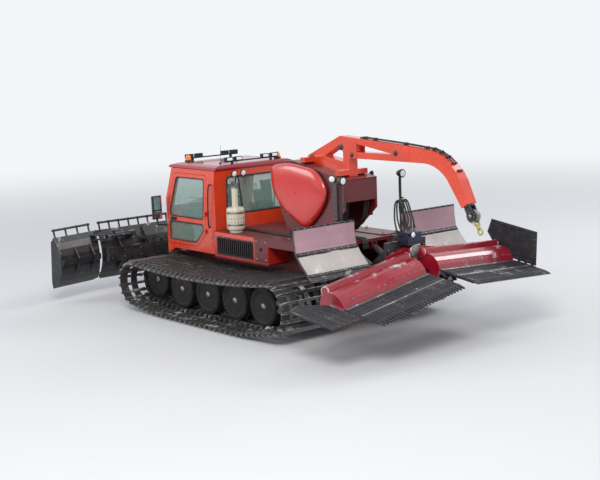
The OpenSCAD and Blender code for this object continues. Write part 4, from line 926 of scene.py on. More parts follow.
def makeBeacons():
    # Ribbed domes over a black base, with a bright reflector inside
    foot = [(0, 0.072), (0.022, 0.072), (0.03, 0.066), (0.036, 0.06)]
    dome = [(0.034, 0.057), (0.05, 0.058), (0.1, 0.053), (0.122, 0.042), (0.134, 0.022), (0.1375, 0.0)]
    reflector = [(0.04, 0.03), (0.07, 0.01), (0.11, 0.03)]
    shape = Shape()
    low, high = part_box("beacons")
    points = [v.co for v in frame["nodes"]["beacons"].data.vertices]
    tops = sorted({(round(p.x, 2), round(p.y, 2)) for p in points if p.z > high.z - 0.004})
    places = []
    for x, y in tops:
        if not any(math.hypot(x - a, y - b) < 0.2 for a, b in places):
            places.append((x, y))
    shape.at = Matrix.Identity(4)
    for x, y in places:
        shape.mark = 0
        shape.lathe(foot, (x, y, low.z + 0.0004), (0, 0, 1), 28)
        shape.mark = 1
        shape.lathe(dome, (x, y, low.z), (0, 0, 1), 28)
        shape.mark = 2
        shape.lathe(reflector, (x, y, low.z), (0, 0, 1), 16)
    materials = [finishes["black_plastic"], finishes["amber"], extra["mirror"]]
    shape.piece("beacon_domes", "root", materials, replaces=("beacons",))


def makeMirrorGlass():
    # A large pane over a small wide-angle one on each side
    shape = Shape()
    for side in (-1, 1):
        y0, y1 = sorted(side * (cab["halfWidth"] + out) for out in cab["mirrors"])
        shape.prism(rectangle(y0, 1.9, y1, 2.16, 0.02), 2.374, 2.3835, "x")
        shape.prism(rectangle(y0, 1.73, y1, 1.88, 0.02), 2.366, 2.378, "x")
    shape.piece("mirror_panes", "root", extra["mirror"])


def makeCabTrim():
    # Grab rails, panel screws and the aerial
    shape = Shape()
    for side in (-1, 1):
        rail = [(0.985, 1.68), (1.085, 1.72), (1.06, 2.42), (0.96, 2.46)]
        shape.tube(smoothPath([(0.86, side * y, z) for y, z in rail]), 0.014, 10)
        y = side * (cab["halfWidth"] + 0.0005)
        for z in (1.32, 1.46):
            shape.bolt((0.80, y, z), (0, side, 0), 0.011)
        for x in (1.36, 1.62, 1.88, 2.14):
            shape.bolt((x, y, 1.2), (0, side, 0), 0.009)
    x, y = cab["aerial"]
    shape.lathe([(0, 0.022), (0.02, 0.02), (0.03, 0.008)], (x, y, 2.8405), (0, 0, 1), 14)
    shape.tube([(x, y, 2.86), (x - 0.03, y, 3.2)], [0.004, 0.0025], 6)
    shape.piece("cab_rails", "root", finishes["black_plastic"])


def cushion(name, size, channels):
    # Crowned pad with pulled-in edges and sewn channels across it
    count = 22
    steps = [2 * i / count - 1 for i in range(count + 1)]
    points, faces = [], []
    for layer in (1, -1):
        for u in steps:
            for v in steps:
                edge = (1 - abs(u) ** 5) * (1 - abs(v) ** 5)
                pull = 1 - 0.05 * (abs(u) ** 4 * (1 - abs(v) ** 2) + abs(v) ** 4 * (1 - abs(u) ** 2))
                seam = sum(math.exp(-((u - c) / 0.045) ** 2) for c in channels)
                thick = size[2] / 2 * (0.55 + 0.45 * edge ** 0.45 - 0.16 * seam * (layer > 0))
                points.append((size[0] / 2 * u * pull, size[1] / 2 * v * pull, layer * thick))
    row = count + 1
    n = row ** 2
    for i in range(count):
        for j in range(count):
            a, b = i * row + j, (i + 1) * row + j
            faces.append((a, b, b + 1, a + 1))
            faces.append((n + a + 1, n + b + 1, n + b, n + a))
    rim = [i * row for i in range(row)]
    rim += [count * row + j for j in range(1, row)]
    rim += [i * row + count for i in range(count - 1, -1, -1)]
    rim += [j for j in range(count - 1, 0, -1)]
    for a, b in zip(rim, rim[1:] + rim[:1]):
        faces.append((b, a, n + a, n + b))
    made = bpy.data.meshes.new(name)
    made.from_pydata(points, [], faces)
    made.update()
    for polygon in made.polygons:
        polygon.use_smooth = True
    return made


def makeSeats():
    # Two suspended seats: cushion, back and head rest on a black pedestal
    floor = cab["floor"]
    pads = [
        ("seat", (0.52, 0.47, 0.13), (1.35, floor + 0.335), 2.0, (-0.45, 0.45)),
        ("back", (0.72, 0.45, 0.11), (1.095, floor + 0.68), 81.0, (-0.45, 0.45)),
        ("head_rest", (0.2, 0.25, 0.08), (1.02, floor + 1.12), 81.0, ()),
    ]
    for name, y in cab["seats"].items():
        for part, size, (x, z), lean, channels in pads:
            mesh = cushion(f"{part}_{name}", size, channels)
            turn = Matrix.Rotation(math.radians(-lean), 4, "Y")
            mesh.transform(Matrix.Translation((x + shiftX, y, z)) @ turn)
            mesh.materials.append(finishes["seat_fabric"])
            pad = bpy.data.objects.new(f"{part}_{name}", mesh)
            bpy.context.scene.collection.objects.link(pad)
            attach(pad, "root")
    pedestal = [(0, 0.15), (0.02, 0.15), (0.03, 0.09), (0.2, 0.09), (0.24, 0.12), (0.262, 0.16)]
    shape = Shape()
    for middle in cab["seats"].values():
        shape.lathe(pedestal, (cab["seatX"], middle, floor + 0.0005), (0, 0, 1), 20)
        shape.box((1.1, middle - 0.2, floor + 0.24), (1.56, middle + 0.2, floor + 0.275))
        for y in (middle - 0.19, middle + 0.19):
            strut = [(1.12, y, floor + 0.26), (1.03, y, floor + 0.45), (0.985, y, floor + 0.95)]
            shape.tube(smoothPath(strut, 4), 0.014, 8)
    black = finishes["black_plastic"]
    shape.piece("seat_bases", "root", black, bevel=0.003, replaces=("cab_seats",))


makeSeals()
makeDoorFittings()
makeWipers()
makeRoofLamps()
makeBeacons()
makeMirrorGlass()
makeCabTrim()
makeSeats()
print("cab dressed")

winch = {
    "halfTower": 0.4,
    "coverMiddle": (-1.1, 2.4),
    "coverEdge": [(-1.31, 1.72), (-0.62, 2.08), (-0.33, 2.46), (-0.34, 2.88),
                  (-0.9, 2.95), (-1.64, 2.85), (-1.92, 2.48), (-1.74, 2.12)],
    "coverDome": [(0.0, 1.0), (0.05, 1.0), (0.072, 0.985), (0.09, 0.95), (0.104, 0.89),
                  (0.114, 0.8), (0.121, 0.66), (0.125, 0.48), (0.126, 0.25), (0.1265, 0.02)],
    "drum": (-1.23, 2.26),
    "drumHalf": 0.318,
    "ropeRadius": 0.3205,
    "ropePitch": 0.0118,
    "secondLayer": 0.7,
    "base": (-0.95, 1.6),
    "baseBolts": (0.385, 24),
    "sideBolts": [(-2.2, 2.25), (-2.2, 2.6), (-0.6, 2.05)],
    "column": (-2.13, 1.98, -2.03, 2.64),
    "columnDepth": 0.436,
}


def makeCovers():
    # Moulded egg-shaped covers with a rolled rim, split lines and screws
    shape = Shape()
    middle = winch["coverMiddle"]
    edge = roundedOutline(winch["coverEdge"], 0.24, 9)
    for side in (-1, 1):
        rings = []
        for out, share in winch["coverDome"]:
            y = side * (winch["halfTower"] + 0.0003 + out)
            rings.append([(x, y, z) for x, z in scaled(edge, middle, share)][::side])
        shape.mark = 0
        shape.grid(rings, caps=False)
        y = side * (winch["halfTower"] + 0.026)
        shape.mark = 1
        lip = [(x, y, z) for x, z in scaled(edge, middle, 1.0005)]
        sealLoop(shape, lip[::side], (0, side, 0), 0.006, 0.02)
        y = side * (winch["halfTower"] + 0.094)
        shape.mark = 2
        for x, z in scaled(edge, middle, 0.93)[::10]:
            shape.lathe([(0, 0.012), (0.005, 0.011), (0.008, 0.0)], (x, y, z), (0, side, 0), 12)
    materials = [finishes["bright_red"], extra["seal"], extra["bolt"]]
    shape.piece("egg_covers", "winch", materials, replaces=("winch_covers",))


def makeRope():
    # Wound wire rope between the drum's flanges: a full layer and part of a second one
    shape = Shape()
    x, z = winch["drum"]
    pitch, r, half = winch["ropePitch"], winch["ropeRadius"], winch["drumHalf"]
    turns = int(2 * half / pitch)
    profile = []
    for k in range(turns):
        middle = -half + (k + 0.5) * pitch
        layer = pitch * 0.86 if k < turns * winch["secondLayer"] else 0.0
        for a in (-80, -40, 0, 40, 80):
            s, c = math.sin(math.radians(a)), math.cos(math.radians(a))
            profile.append((middle + pitch / 2 * s, r + layer + pitch / 2 * c))
    shape.lathe([(-half, r)] + profile + [(half, r)], (x, 0, z), (0, 1, 0), 56)
    for face in (-1, 1):
        shape.boltRing((x, face * 0.3525, z), (0, face, 0), 0.2, 8, 0.016)
    shape.piece("wound_rope", "winch_drum", extra["wireRope"])


def makeTowerBolts():
    # Bolts on the slewing ring and on the tower's sides
    shape = Shape()
    x, z = winch["base"]
    radius, count = winch["baseBolts"]
    shape.boltRing((x, 0, z + 0.0823), (0, 0, 1), radius, count, 0.013)
    for side in (-1, 1):
        for x, z in winch["sideBolts"]:
            shape.bolt((x, side * winch["halfTower"], z), (0, side, 0), 0.018)
    shape.piece("tower_bolts", "winch", extra["bolt"])


def makeTowerFittings():
    # Service columns with louvres and a side lamp each, then the hoses behind the tower
    shape = Shape()
    x0, z0, x1, z1 = winch["column"]
    depth = winch["columnDepth"]
    for side in (-1, 1):
        shape.mark = 0
        shape.prism(rectangle(x0, z0, x1, z1, 0.02), side * 0.4005, side * depth)
        shape.mark = 1
        for k in range(5):
            low, high = z0 + 0.07 + 0.11 * k, z0 + 0.082 + 0.11 * k
            louvre = [(x0 + 0.005, low), (x1 - 0.005, low), (x1 - 0.005, high), (x0 + 0.005, high)]
            shape.prism(louvre, side * depth, side * (depth + 0.0025))
        lamp = Vector((-2.07, side * 0.47, 2.72))
        outward = (-0.5, side * 0.86, 0)
        shape.lathe([(-0.03, 0.03), (0.0, 0.058), (0.035, 0.062)], lamp, outward, 22)
        shape.tube([lamp - Vector((0, side * 0.02, 0)), (-2.07, side * 0.4, 2.66)], 0.012, 8)
        shape.mark = 2
        shape.lathe([(0.033, 0.056), (0.044, 0.045), (0.05, 0.0)], lamp, outward, 22)
    serviceGray = paint("service_gray", "guardRubber", 0.45, 0.2)
    materials = [serviceGray, finishes["black_plastic"], extra["clear"]]
    shape.piece("service_columns", "winch", materials, bevel=0.003)

    paths = []
    for k in range(3):
        line = [(-1.86, 1.8 + 0.02 * k), (-1.98, 1.82), (-2.1, 1.95), (-2.17, 2.2), (-2.2, 2.42)]
        paths.append([(x, 0.2 + 0.045 * k, z) for x, z in line])
    hoses("tower_hoses", "winch", paths, 0.013)


boom = {
    "bend": (-3.95, 2.36),
    "radius": 0.7,
    "height": 0.24,
    "reach": 4.01,
    "half": 0.1,
    "pins": [(-1.12, 3.03, 0.055), (-1.92, 3.25, 0.06), (-2.2, 3.12, 0.045), (-3.3, 3.2, 0.05)],
    "frontGusset": [(-2.32, 3.07), (-2.0, 3.07), (-1.86, 3.42), (-2.32, 3.4)],
    "rearGusset": [(-3.62, 3.1), (-3.2, 3.08), (-3.16, 3.3), (-3.62, 3.31)],
}


def boomTop():
    # Points along the boom's upper edge, with the outward direction in X-Z
    bx, bz = boom["bend"]
    r = boom["radius"] + boom["height"]
    line = [((-2.42, 3.4143), (0.06, 1.0)), ((-2.7, 3.395), (0.06, 1.0)), ((-3.45, 3.345), (0.08, 1.0))]
    for a in range(90, 151, 10):
        c, s = math.cos(math.radians(a)), math.sin(math.radians(a))
        line.append(((bx + r * c, bz + r * s), (c, s)))
    end, out = line[-1]
    line.append(((end[0] - 0.5 * 0.4, end[1] - 0.866 * 0.4), out))
    return line


def makeBoomFittings():
    # Hose pair on clips, pin bosses and gusset plates
    shape = Shape()
    for y in (-0.03, 0.03):
        path = [Vector((x + ox * 0.022, y, z + oz * 0.022)) for (x, z), (ox, oz) in boomTop()[:8]]
        shape.tube(smoothPath(path, 4), 0.011, 8)
    shape.piece("boom_hoses", "winch", extra["hose"])

    shape = Shape()
    shape.box((-2.46, -0.06, 3.41), (-2.38, 0.06, 3.446))
    for (x, z), (ox, oz) in boomTop()[1:9]:
        turn = Matrix(((oz, 0, ox, x), (0, 1, 0, 0), (-ox, 0, oz, z), (0, 0, 0, 1)))
        shape.at = Shape.home @ turn
        shape.box((-0.02, -0.055, -0.004), (0.02, 0.055, 0.008))
        shape.box((-0.014, -0.05, 0.008), (0.014, 0.05, 0.038))
        shape.bolt((0, 0, 0.038), (0, 0, 1), 0.009)
    shape.at = Shape.home
    for x, z, r in boom["pins"]:
        boss = [(0, r), (0.012, r), (0.016, r * 0.86), (0.016, r * 0.45), (0.026, r * 0.4), (0.03, 0.0)]
        for side in (-1, 1):
            shape.lathe(boss, (x, side * boom["half"], z), (0, side, 0), 22)
    shape.piece("boom_clips", "winch", finishes["black_steel"], bevel=0.002)

    shape = Shape()
    for side in (-1, 1):
        for gusset, radius in (("frontGusset", 0.05), ("rearGusset", 0.06)):
            outline = roundedOutline(boom[gusset], radius, 4)
            shape.prism(outline, side * (boom["half"] + 0.0002), side * (boom["half"] + 0.006))
    shape.piece("boom_gussets", "winch", finishes["orange_red"], bevel=0.002)


def makeHeadFittings():
    # Swivel bolts and axle caps on the boom head
    middleRadius = boom["radius"] + boom["height"] / 2
    bx, bz = boom["bend"]
    bendEnd = Vector((bx - middleRadius * math.sin(math.radians(60)), 0, bz + middleRadius * 0.5))
    down = Vector((-0.5, 0, -math.sqrt(0.75)))
    tipX = winch["base"][0] - boom["reach"]
    head = bendEnd + down * ((bendEnd.x - tipX) / 0.5)
    axle = 0.19
    swivel = Matrix.Translation(head - down * axle) @ Matrix.Rotation(math.radians(210), 4, "Y")
    shape = Shape(Shape.home @ swivel)
    for k in range(6):
        a = math.radians(60 * k)
        shape.bolt((0.072 * math.cos(a), 0.072 * math.sin(a) * 0.4, 0.0305), (0, 0, 1), 0.007)
    for side in (-1, 1):
        shape.cap((0.012, 0.034), (0.018, 0.028), (0, side * 0.076, axle), (0, side, 0), 16)
        shape.boltRing((0, side * 0.0645, axle), (0, side, 0), 0.058, 3, 0.008, 30)
    shape.piece("head_bolts", "boom_head", extra["bolt"])


makeCovers()
makeRope()
makeTowerBolts()
makeTowerFittings()
makeBoomFittings()
makeHeadFittings()
print("winch dressed")

blade = {
    "lip": 4.25098,
    "halfWidth": 1.55,
    "edge": ((-0.012, 0.39), (0.078, 0.314)),
    "edgeHalf": 0.013,
    "wearStrip": (0.03, 0.104, 0.006),
    "middle": 0.85,
    "back": (4.81, 0.762),
    "tilt": (3.79, 0.64),
    "beamBack": 3.88,
    "wingLength": 1.19,
    "wingBack": 12.0,
    "foldGap": 0.012,
    "railZ": 1.5,
    "yawPin": (3.4, 0.598),
    "lift": ((2.42, 0.96), (3.09, 0.6), 0.19, 0.5, 0.052),
    "wingRam": ((3.96, 0.8), (-0.28, 0.02), 1.23, 0.56, 0.036),
    "tillerRam": ((-2.29, 1.465), (-3.038, 1.025), 0.25, 0.64, 0.052),
}


def wingFrame(side):
    # Frame of one wing at rest: it turns back about the fold; the right one is mirrored
    fold = Matrix.Translation((blade["lip"], blade["halfWidth"] + blade["foldGap"], 0))
    turn = Matrix.Rotation(math.radians(blade["wingBack"]), 4, "Z")
    mirror = Matrix.Scale(side, 4, (0, 1, 0))
    return Shape.home @ mirror @ fold @ turn @ Matrix.Translation((-blade["lip"], 0, 0))


def boardBack(z):
    # Rear face of the mouldboard at a height
    x, r = blade["back"]
    return x - math.sqrt(r * r - (z - blade["middle"]) ** 2)


def wearEdge(shape, low, high, count):
    # Bolted wear plates on the front of the cutting edge
    (ax, az), (bx, bz) = blade["edge"]
    start, end, thick = blade["wearStrip"]
    ahead = Vector((bx - ax, 0, bz - az)).normalized()
    out = Vector((-ahead.z, 0, ahead.x))
    foot = Vector((blade["lip"] + ax, 0, az)) + out * blade["edgeHalf"]
    corners = [foot + ahead * start, foot + ahead * end]
    corners += [foot + ahead * (end - 0.004) + out * thick, foot + ahead * start + out * thick]
    spot = foot + ahead * 0.055 + out * thick
    span = (high - low) / count
    for k in range(count):
        a, b = low + k * span + 0.004, low + (k + 1) * span - 0.004
        shape.mark = 0
        shape.prism([(p.x, p.z) for p in corners], a, b)
        shape.mark = 1
        for i in range(4):
            shape.bolt((spot.x, a + (i + 0.5) * (b - a) / 4, spot.z), out, 0.013)


def railTrim(shape, low, high, count):
    # Weld collars along the rail and caps on its ends
    x, z = blade["lip"] + 0.04, blade["railZ"]
    collar = [(-0.022, 0.0245), (-0.018, 0.029), (0.018, 0.029), (0.022, 0.0245)]
    for y in even(low + 0.03, high - 0.03, count):
        shape.lathe(collar, (x, y, z), (0, 1, 0), 20)
    for y, way in ((low, -1), (high, 1)):
        shape.lathe([(0, 0.0245), (0.006, 0.0235), (0.01, 0.017), (0.011, 0.0)], (x, y, z), (0, way, 0), 20)


def makeCenterFittings():
    # Wear edge, rail, fold pin caps, beam bolts and the hoses to both wing cylinders
    half = blade["halfWidth"]
    shape = Shape()
    wearEdge(shape, -half + 0.09, half - 0.09, 6)
    for y in (-1.1, -0.41, 0.51, 1.2):
        for z in (0.5, 0.62, 1.08, 1.22):
            shape.bolt((boardBack(z) + 0.024, y, z), (1, 0, 0), 0.009)
    materials = [extra["cleat"], extra["bolt"]]
    shape.piece("wear_edge_center", "blade", materials, bevel=0.001)

    shape = Shape()
    railTrim(shape, -half + 0.06, half - 0.06, 13)
    for side in (-1, 1):
        for z in (1.31, 0.42):
            pin = (blade["lip"], side * (half + blade["foldGap"]), z + 0.0375)
            shape.cap((0.008, 0.022), (0.012, 0.016), pin, (0, 0, 1), 18)
    shape.piece("blade_rail_trim", "blade", finishes["blade_black"], bevel=0.001)

    shape = Shape()
    x, z = blade["tilt"]
    shape.boltRing((x, 0, z), (-1, 0, 0), 0.092, 10, 0.0085, 18)
    for side in (-1, 1):
        for y in (0.3, 0.7, 1.1, 1.42):
            for z in (0.78, 0.92):
                shape.bolt((blade["beamBack"], side * y, z), (-1, 0, 0), 0.013)
    shape.piece("blade_back_bolts", "blade", extra["bolt"])

    shape = Shape()
    for side in (-1, 1):
        for k in range(2):
            path = [(3.9, 0.12 + 0.04 * k, 0.994), (3.88, 0.16 + 0.04 * k, 1.06),
                    (3.885, 0.3, 1.09 + 0.035 * k), (3.9, 0.6, 1.1 + 0.035 * k),
                    (3.925, 0.76, 1.15 + 0.03 * k), (3.945, 0.84 + 0.05 * k, 1.272)]
            hosePipe(shape, [(x, side * y, z) for x, y, z in path], 0.011)
    for side in (-1, 1):
        for y in (0.35, 0.55):
            shape.box((3.89, side * y - 0.015, 0.991), (3.91, side * y + 0.015, 1.155))
    shape.piece("blade_hoses", "blade", extra["hose"])


def makeWingFittings(side):
    # Wear edge, rail and end bolts of one wing
    name = sideNames[side]
    length = blade["wingLength"]
    shape = Shape(wingFrame(side))
    wearEdge(shape, 0.2, length - 0.04, 2)
    materials = [extra["cleat"], extra["bolt"]]
    shape.piece(f"wear_edge_{name}", f"wing_{name}", materials, bevel=0.001)
    shape = Shape(wingFrame(side))
    railTrim(shape, 0.15, length - 0.04, 4)
    for z in (0.5, 0.85, 1.2):
        shape.bolt((boardBack(z) + 0.06, length, z), (0, 1, 0), 0.014)
    shape.piece(f"wing_trim_{name}", f"wing_{name}", finishes["blade_black"], bevel=0.001)


def ramTrim(name, body, start, end, length, radius):
    # Gland ring, port blocks, feed pipe and clamp on a cylinder's barrel
    start, end = Vector(start), Vector(end)
    ahead = (end - start).normalized()
    side = Vector((0, 0, 1)).cross(ahead).normalized()
    over = ahead.cross(side)
    turn = Matrix((ahead, side, over)).transposed().to_4x4()
    shape = Shape(Shape.home @ Matrix.Translation(start) @ turn)
    skin, lip, last = radius + 0.0005, radius + 0.005, radius * 0.7
    gland = [(-0.06, skin), (-0.056, lip), (-0.006, lip), (-0.002, radius - 0.004), (-0.0005, last)]
    band = [(-0.16, skin), (-0.157, radius + 0.003), (-0.143, radius + 0.003), (-0.14, skin)]
    shape.mark = 0
    for profile in (gland, band):
        shape.lathe([(length + along, r) for along, r in profile], (0, 0, 0), (1, 0, 0), 32)
    pipe = []
    for x, way in ((0.11, 1), (length - 0.1, -1)):
        shape.box((x - 0.017, -0.015, radius - 0.006), (x + 0.017, 0.015, radius + 0.012))
        run = [(0, 0.012), (0.015, 0.02), (0.03, 0.021)]
        pipe += [(x + way * along, 0, radius + rise) for along, rise in run][::way]
    shape.mark = 1
    shape.tube(pipe, 0.006, 10)
    clamp = [(-0.011, skin), (-0.011, radius + 0.003), (0.011, radius + 0.003), (0.011, skin)]
    shape.lathe(clamp, (length * 0.5, 0, 0), (1, 0, 0), 32)
    shape.piece(name, body, [finishes["black_steel"], extra["bolt"]], bevel=0.001)


def makeRams():
    # The trim of all six cylinders
    rams = [("lift_ram", "blade_barrels", "lift"), ("tiller_ram", "tiller_barrels", "tillerRam")]
    for name, body, ram in rams:
        (ax, az), (bx, bz), y, length, radius = blade[ram]
        for side in (-1, 1):
            start, end = (ax, side * y, az), (bx, side * y, bz)
            ramTrim(f"{name}_{sideNames[side]}", body, start, end, length, radius)
    (ax, ay), (u, v), z, length, radius = blade["wingRam"]
    c, s = math.cos(math.radians(blade["wingBack"])), math.sin(math.radians(blade["wingBack"]))
    ex = blade["lip"] + u * c - v * s
    ey = blade["halfWidth"] + blade["foldGap"] + u * s + v * c
    for side in (-1, 1):
        name = sideNames[side]
        start, end = (ax, side * ay, z), (ex, side * ey, z)
        ramTrim(f"wing_ram_{name}", f"wing_barrel_{name}", start, end, length, radius)


def makeFrameFittings():
    # Pin caps and hoses on the blade's push frame, bolts on the yaw pin
    shape = Shape()
    x, z = pushPin
    for side in (-1, 1):
        shape.cap((0.012, 0.042), (0.017, 0.034), (x, side * 0.4005, z), (0, side, 0))
        shape.bolt((x, side * 0.4175, z), (0, side, 0), 0.011)
    x, z = blade["yawPin"]
    shape.cap((0.01, 0.062), (0.014, 0.054), (x, 0, z), (0, 0, 1), 28)
    shape.boltRing((x, 0, z + 0.014), (0, 0, 1), 0.04, 6, 0.008)
    shape.piece("push_frame_caps", "blade_frame", extra["bolt"])
    inner = [(2.62, 0.32, 0.584), (2.8, 0.32, 0.58), (3.0, 0.32, 0.573),
             (3.14, 0.32, 0.582), (3.22, 0.24, 0.59), (3.27, 0.12, 0.612)]
    outer = [(x, y + 0.03, z) for x, y, z in inner]
    hoses("push_frame_hoses", "blade_frame", [inner, outer], 0.011)


makeCenterFittings()
for wingSide in (1, -1):
    makeWingFittings(wingSide)
makeRams()
makeFrameFittings()
print("blade and cylinders dressed")

tiller = {
    "rotor": (-3.72, 1.18),
    "flexZ": 1.53,
    "droop": {1: -9.5, -1: 3.0},
    "halfIn": 0.19,
    "length": 2.08,
    "lug": {1: -3.463, -1: -3.548},
    "ribMiddle": (0.14, 0.305),
    "rib": [(0.04, 0.28), (0.2, 0.2), (0.24, 0.3), (0.18, 0.38), (0.06, 0.39)],
    "ribDome": [(0.0, 1.0), (0.02, 0.97), (0.036, 0.86), (0.044, 0.66), (0.047, 0.35), (0.048, 0.04)],
    "combAt": (-4.0177, 1.2432),
    "combSlope": 8.0,
    "combLength": 0.76,
    "combStep": 0.072,
    "finger": [(-0.002, 0.03, -0.001, -0.03), (0.05, 0.027, -0.004, -0.032),
               (0.1, 0.02, -0.012, -0.034), (0.122, 0.012, -0.02, -0.034)],
    "hingeY": 2.13,
    "finisher": [(0.33, 0.026), (-0.5, 0.026), (-0.42, 0.62), (0.64, 0.62), (0.7, 0.37)],
    "finisherTurn": {1: 0.0, -1: 90.0},
    "plateX": -3.35,
    "coverTop": 1.85,
    "liftPins": [(-2.52, 0.64), (-3.26, 1.19)],
    "liftPinY": 0.46,
}


def halfFrame(side):
    # Frame of one half of the tiller: it hangs from the flex pin; the right one is mirrored
    up = Matrix.Translation((0, 0, tiller["flexZ"]))
    turn = Matrix.Rotation(math.radians(tiller["droop"][side]), 4, "X")
    return Shape.home @ up @ turn @ up.inverted() @ Matrix.Scale(side, 4, (0, 1, 0))


def combFrame(side):
    # Frame of one comb mat: x runs along it, z stands out of it
    x, z = tiller["combAt"]
    slope = Matrix.Rotation(math.radians(-tiller["combSlope"]), 4, "Y")
    return halfFrame(side) @ Matrix.Translation((x, 0, z)) @ slope


def makeHood(side):
    # Domed ends of the box rib with a pale rim, and straps over it
    name = sideNames[side]
    rx, rz = tiller["rotor"]
    a, b = tiller["halfIn"], tiller["length"]
    rib = roundedOutline([(rx + x, rz + z) for x, z in tiller["rib"]], 0.05, 4)
    middle = (rx + tiller["ribMiddle"][0], rz + tiller["ribMiddle"][1])
    shape = Shape(halfFrame(side))
    for start, way, depth in ((b, 1, 0.2), (a, -1, 1.0)):  # the outer end stays clear of the folded finisher
        rings = []
        for out, share in tiller["ribDome"]:
            y = start + way * depth * out
            rings.append([(x, y, z) for x, z in scaled(rib, middle, share)][::-way])
        shape.mark = 0
        shape.grid(rings, caps=False)
        shape.mark = 1
        shape.prism(scaled(rib, middle, 1.03)[::-1], start - way * 0.012, start + way * 0.007)
    shape.mark = 0
    for y in even(a + 0.2, b - 0.2, 5):
        shape.prism(scaled(rib, middle, 1.04)[::-1], y - 0.025, y + 0.025)
    materials = [finishes["crimson"], finishes["cream"]]
    shape.piece(f"hood_ends_{name}", f"tiller_{name}", materials, bevel=0.002)


def makeHoodFittings(side):
    # Hood bolts, the rotor's bearing flange and the hoses along the hood to the rotor motor
    name = sideNames[side]
    rx, rz = tiller["rotor"]
    a, b = tiller["halfIn"], tiller["length"]
    shape = Shape(halfFrame(side))
    for y in even(a + 0.08, b - 0.08, 13):
        for turn in (20, 148):
            c, s = math.cos(math.radians(turn)), math.sin(math.radians(turn))
            shape.bolt((rx + 0.3035 * c, y, rz + 0.3035 * s), (c, 0, s), 0.011)
    y = b + 0.024
    flange = [(0, 0.098), (0.008, 0.098), (0.01, 0.09), (0.01, 0.052), (0.014, 0.05), (0.015, 0.0)]
    shape.lathe(flange, (rx, y, rz), (0, 1, 0), 28)
    shape.boltRing((rx, y + 0.01, rz), (0, 1, 0), 0.075, 6, 0.007)
    shape.piece(f"hood_bolts_{name}", f"tiller_{name}", extra["bolt"])

    shape = Shape(halfFrame(side))
    for step in (0.0, 0.03):
        x, z = rx + 0.262 + step, rz + 0.33 - step
        path = [(tiller["lug"][side], 0.26, rz + 0.4), (x, 0.4, z + 0.02), (x, 0.6, z), (x, 1.2, z),
                (x, 1.8, z), (x - 0.03, b - 0.04, z - 0.06), (rx + 0.21, b - 0.01, rz + 0.245)]
        hosePipe(shape, path, 0.013)
    shape.piece(f"hood_hoses_{name}", f"tiller_{name}", extra["hose"])


def makeComb(side):
    # Clamp strips with bolts, then the rear finger row and the short ribs across the mat
    name = sideNames[side]
    a, b, length = tiller["halfIn"], tiller["hingeY"] - 0.026, tiller["combLength"]
    shape = Shape(combFrame(side))
    strips = [(-0.075, -0.02, 0.006, 0.06, 14, 0.012), (-0.42, -0.385, 0.004, 0.08, 10, 0.009)]
    for x0, x1, top, inset, count, size in strips:
        shape.box((x0, a + 0.01, 0.0), (x1, b - 0.01, top))
        for y in even(a + inset, b - inset, count):
            shape.bolt(((x0 + x1) / 2, y, top), (0, 0, 1), size)
    shape.piece(f"comb_clamps_{name}", f"tiller_{name}", extra["bar"], bevel=0.0012)

    shape = Shape(combFrame(side))
    count = int((b - a) / tiller["combStep"])
    step = (b - a) / count
    for k in range(count):
        y = a + (k + 0.5) * step
        rings = []
        for out, half, high, low in tiller["finger"]:
            tip = half * 0.86
            corners = [(y - half, low), (y + half, low), (y + tip, high), (y - tip, high)]
            rings.append([(-length - out, across, z) for across, z in corners])
        shape.grid(rings, smooth=False)
        for x in (-0.68, -0.56, -0.28, -0.16):
            shape.box((x, y - 0.012, -0.0005), (x + 0.07, y + 0.012, 0.007))
    mat = finishes["comb_rubber"]
    shape.piece(f"comb_fingers_{name}", f"tiller_{name}", mat, bevel=0.002, segments=1)


def makeFinisher(side):
    # Rim strip, clamp bars and bolts on a side finisher
    name = sideNames[side]
    turn = Matrix.Rotation(math.radians(tiller["finisherTurn"][side]), 4, "X")
    shape = Shape(combFrame(side) @ Matrix.Translation((0, tiller["hingeY"], -0.011)) @ turn)
    path = [Vector((x, y, 0.013)) for x, y in insetOutline(tiller["finisher"][::-1], 0.03)]
    sealLoop(shape, path, (0, 0, 1), 0.03, 0.006)
    shape.mark = 1
    for start, end in zip(path, path[1:] + path[:1]):
        for i in range(1, 5):
            spot = start.lerp(end, i / 5)
            shape.bolt((spot.x, spot.y, 0.017), (0, 0, 1), 0.009)
    shape.mark = 0
    for y in (0.13, 0.27, 0.41):
        shape.box((-0.38, y - 0.014, 0.0105), (0.28, y + 0.014, 0.019))
    materials = [finishes["black_steel"], extra["bolt"]]
    shape.piece(f"finisher_rim_{name}", f"side_wing_{name}", materials, bevel=0.0015)


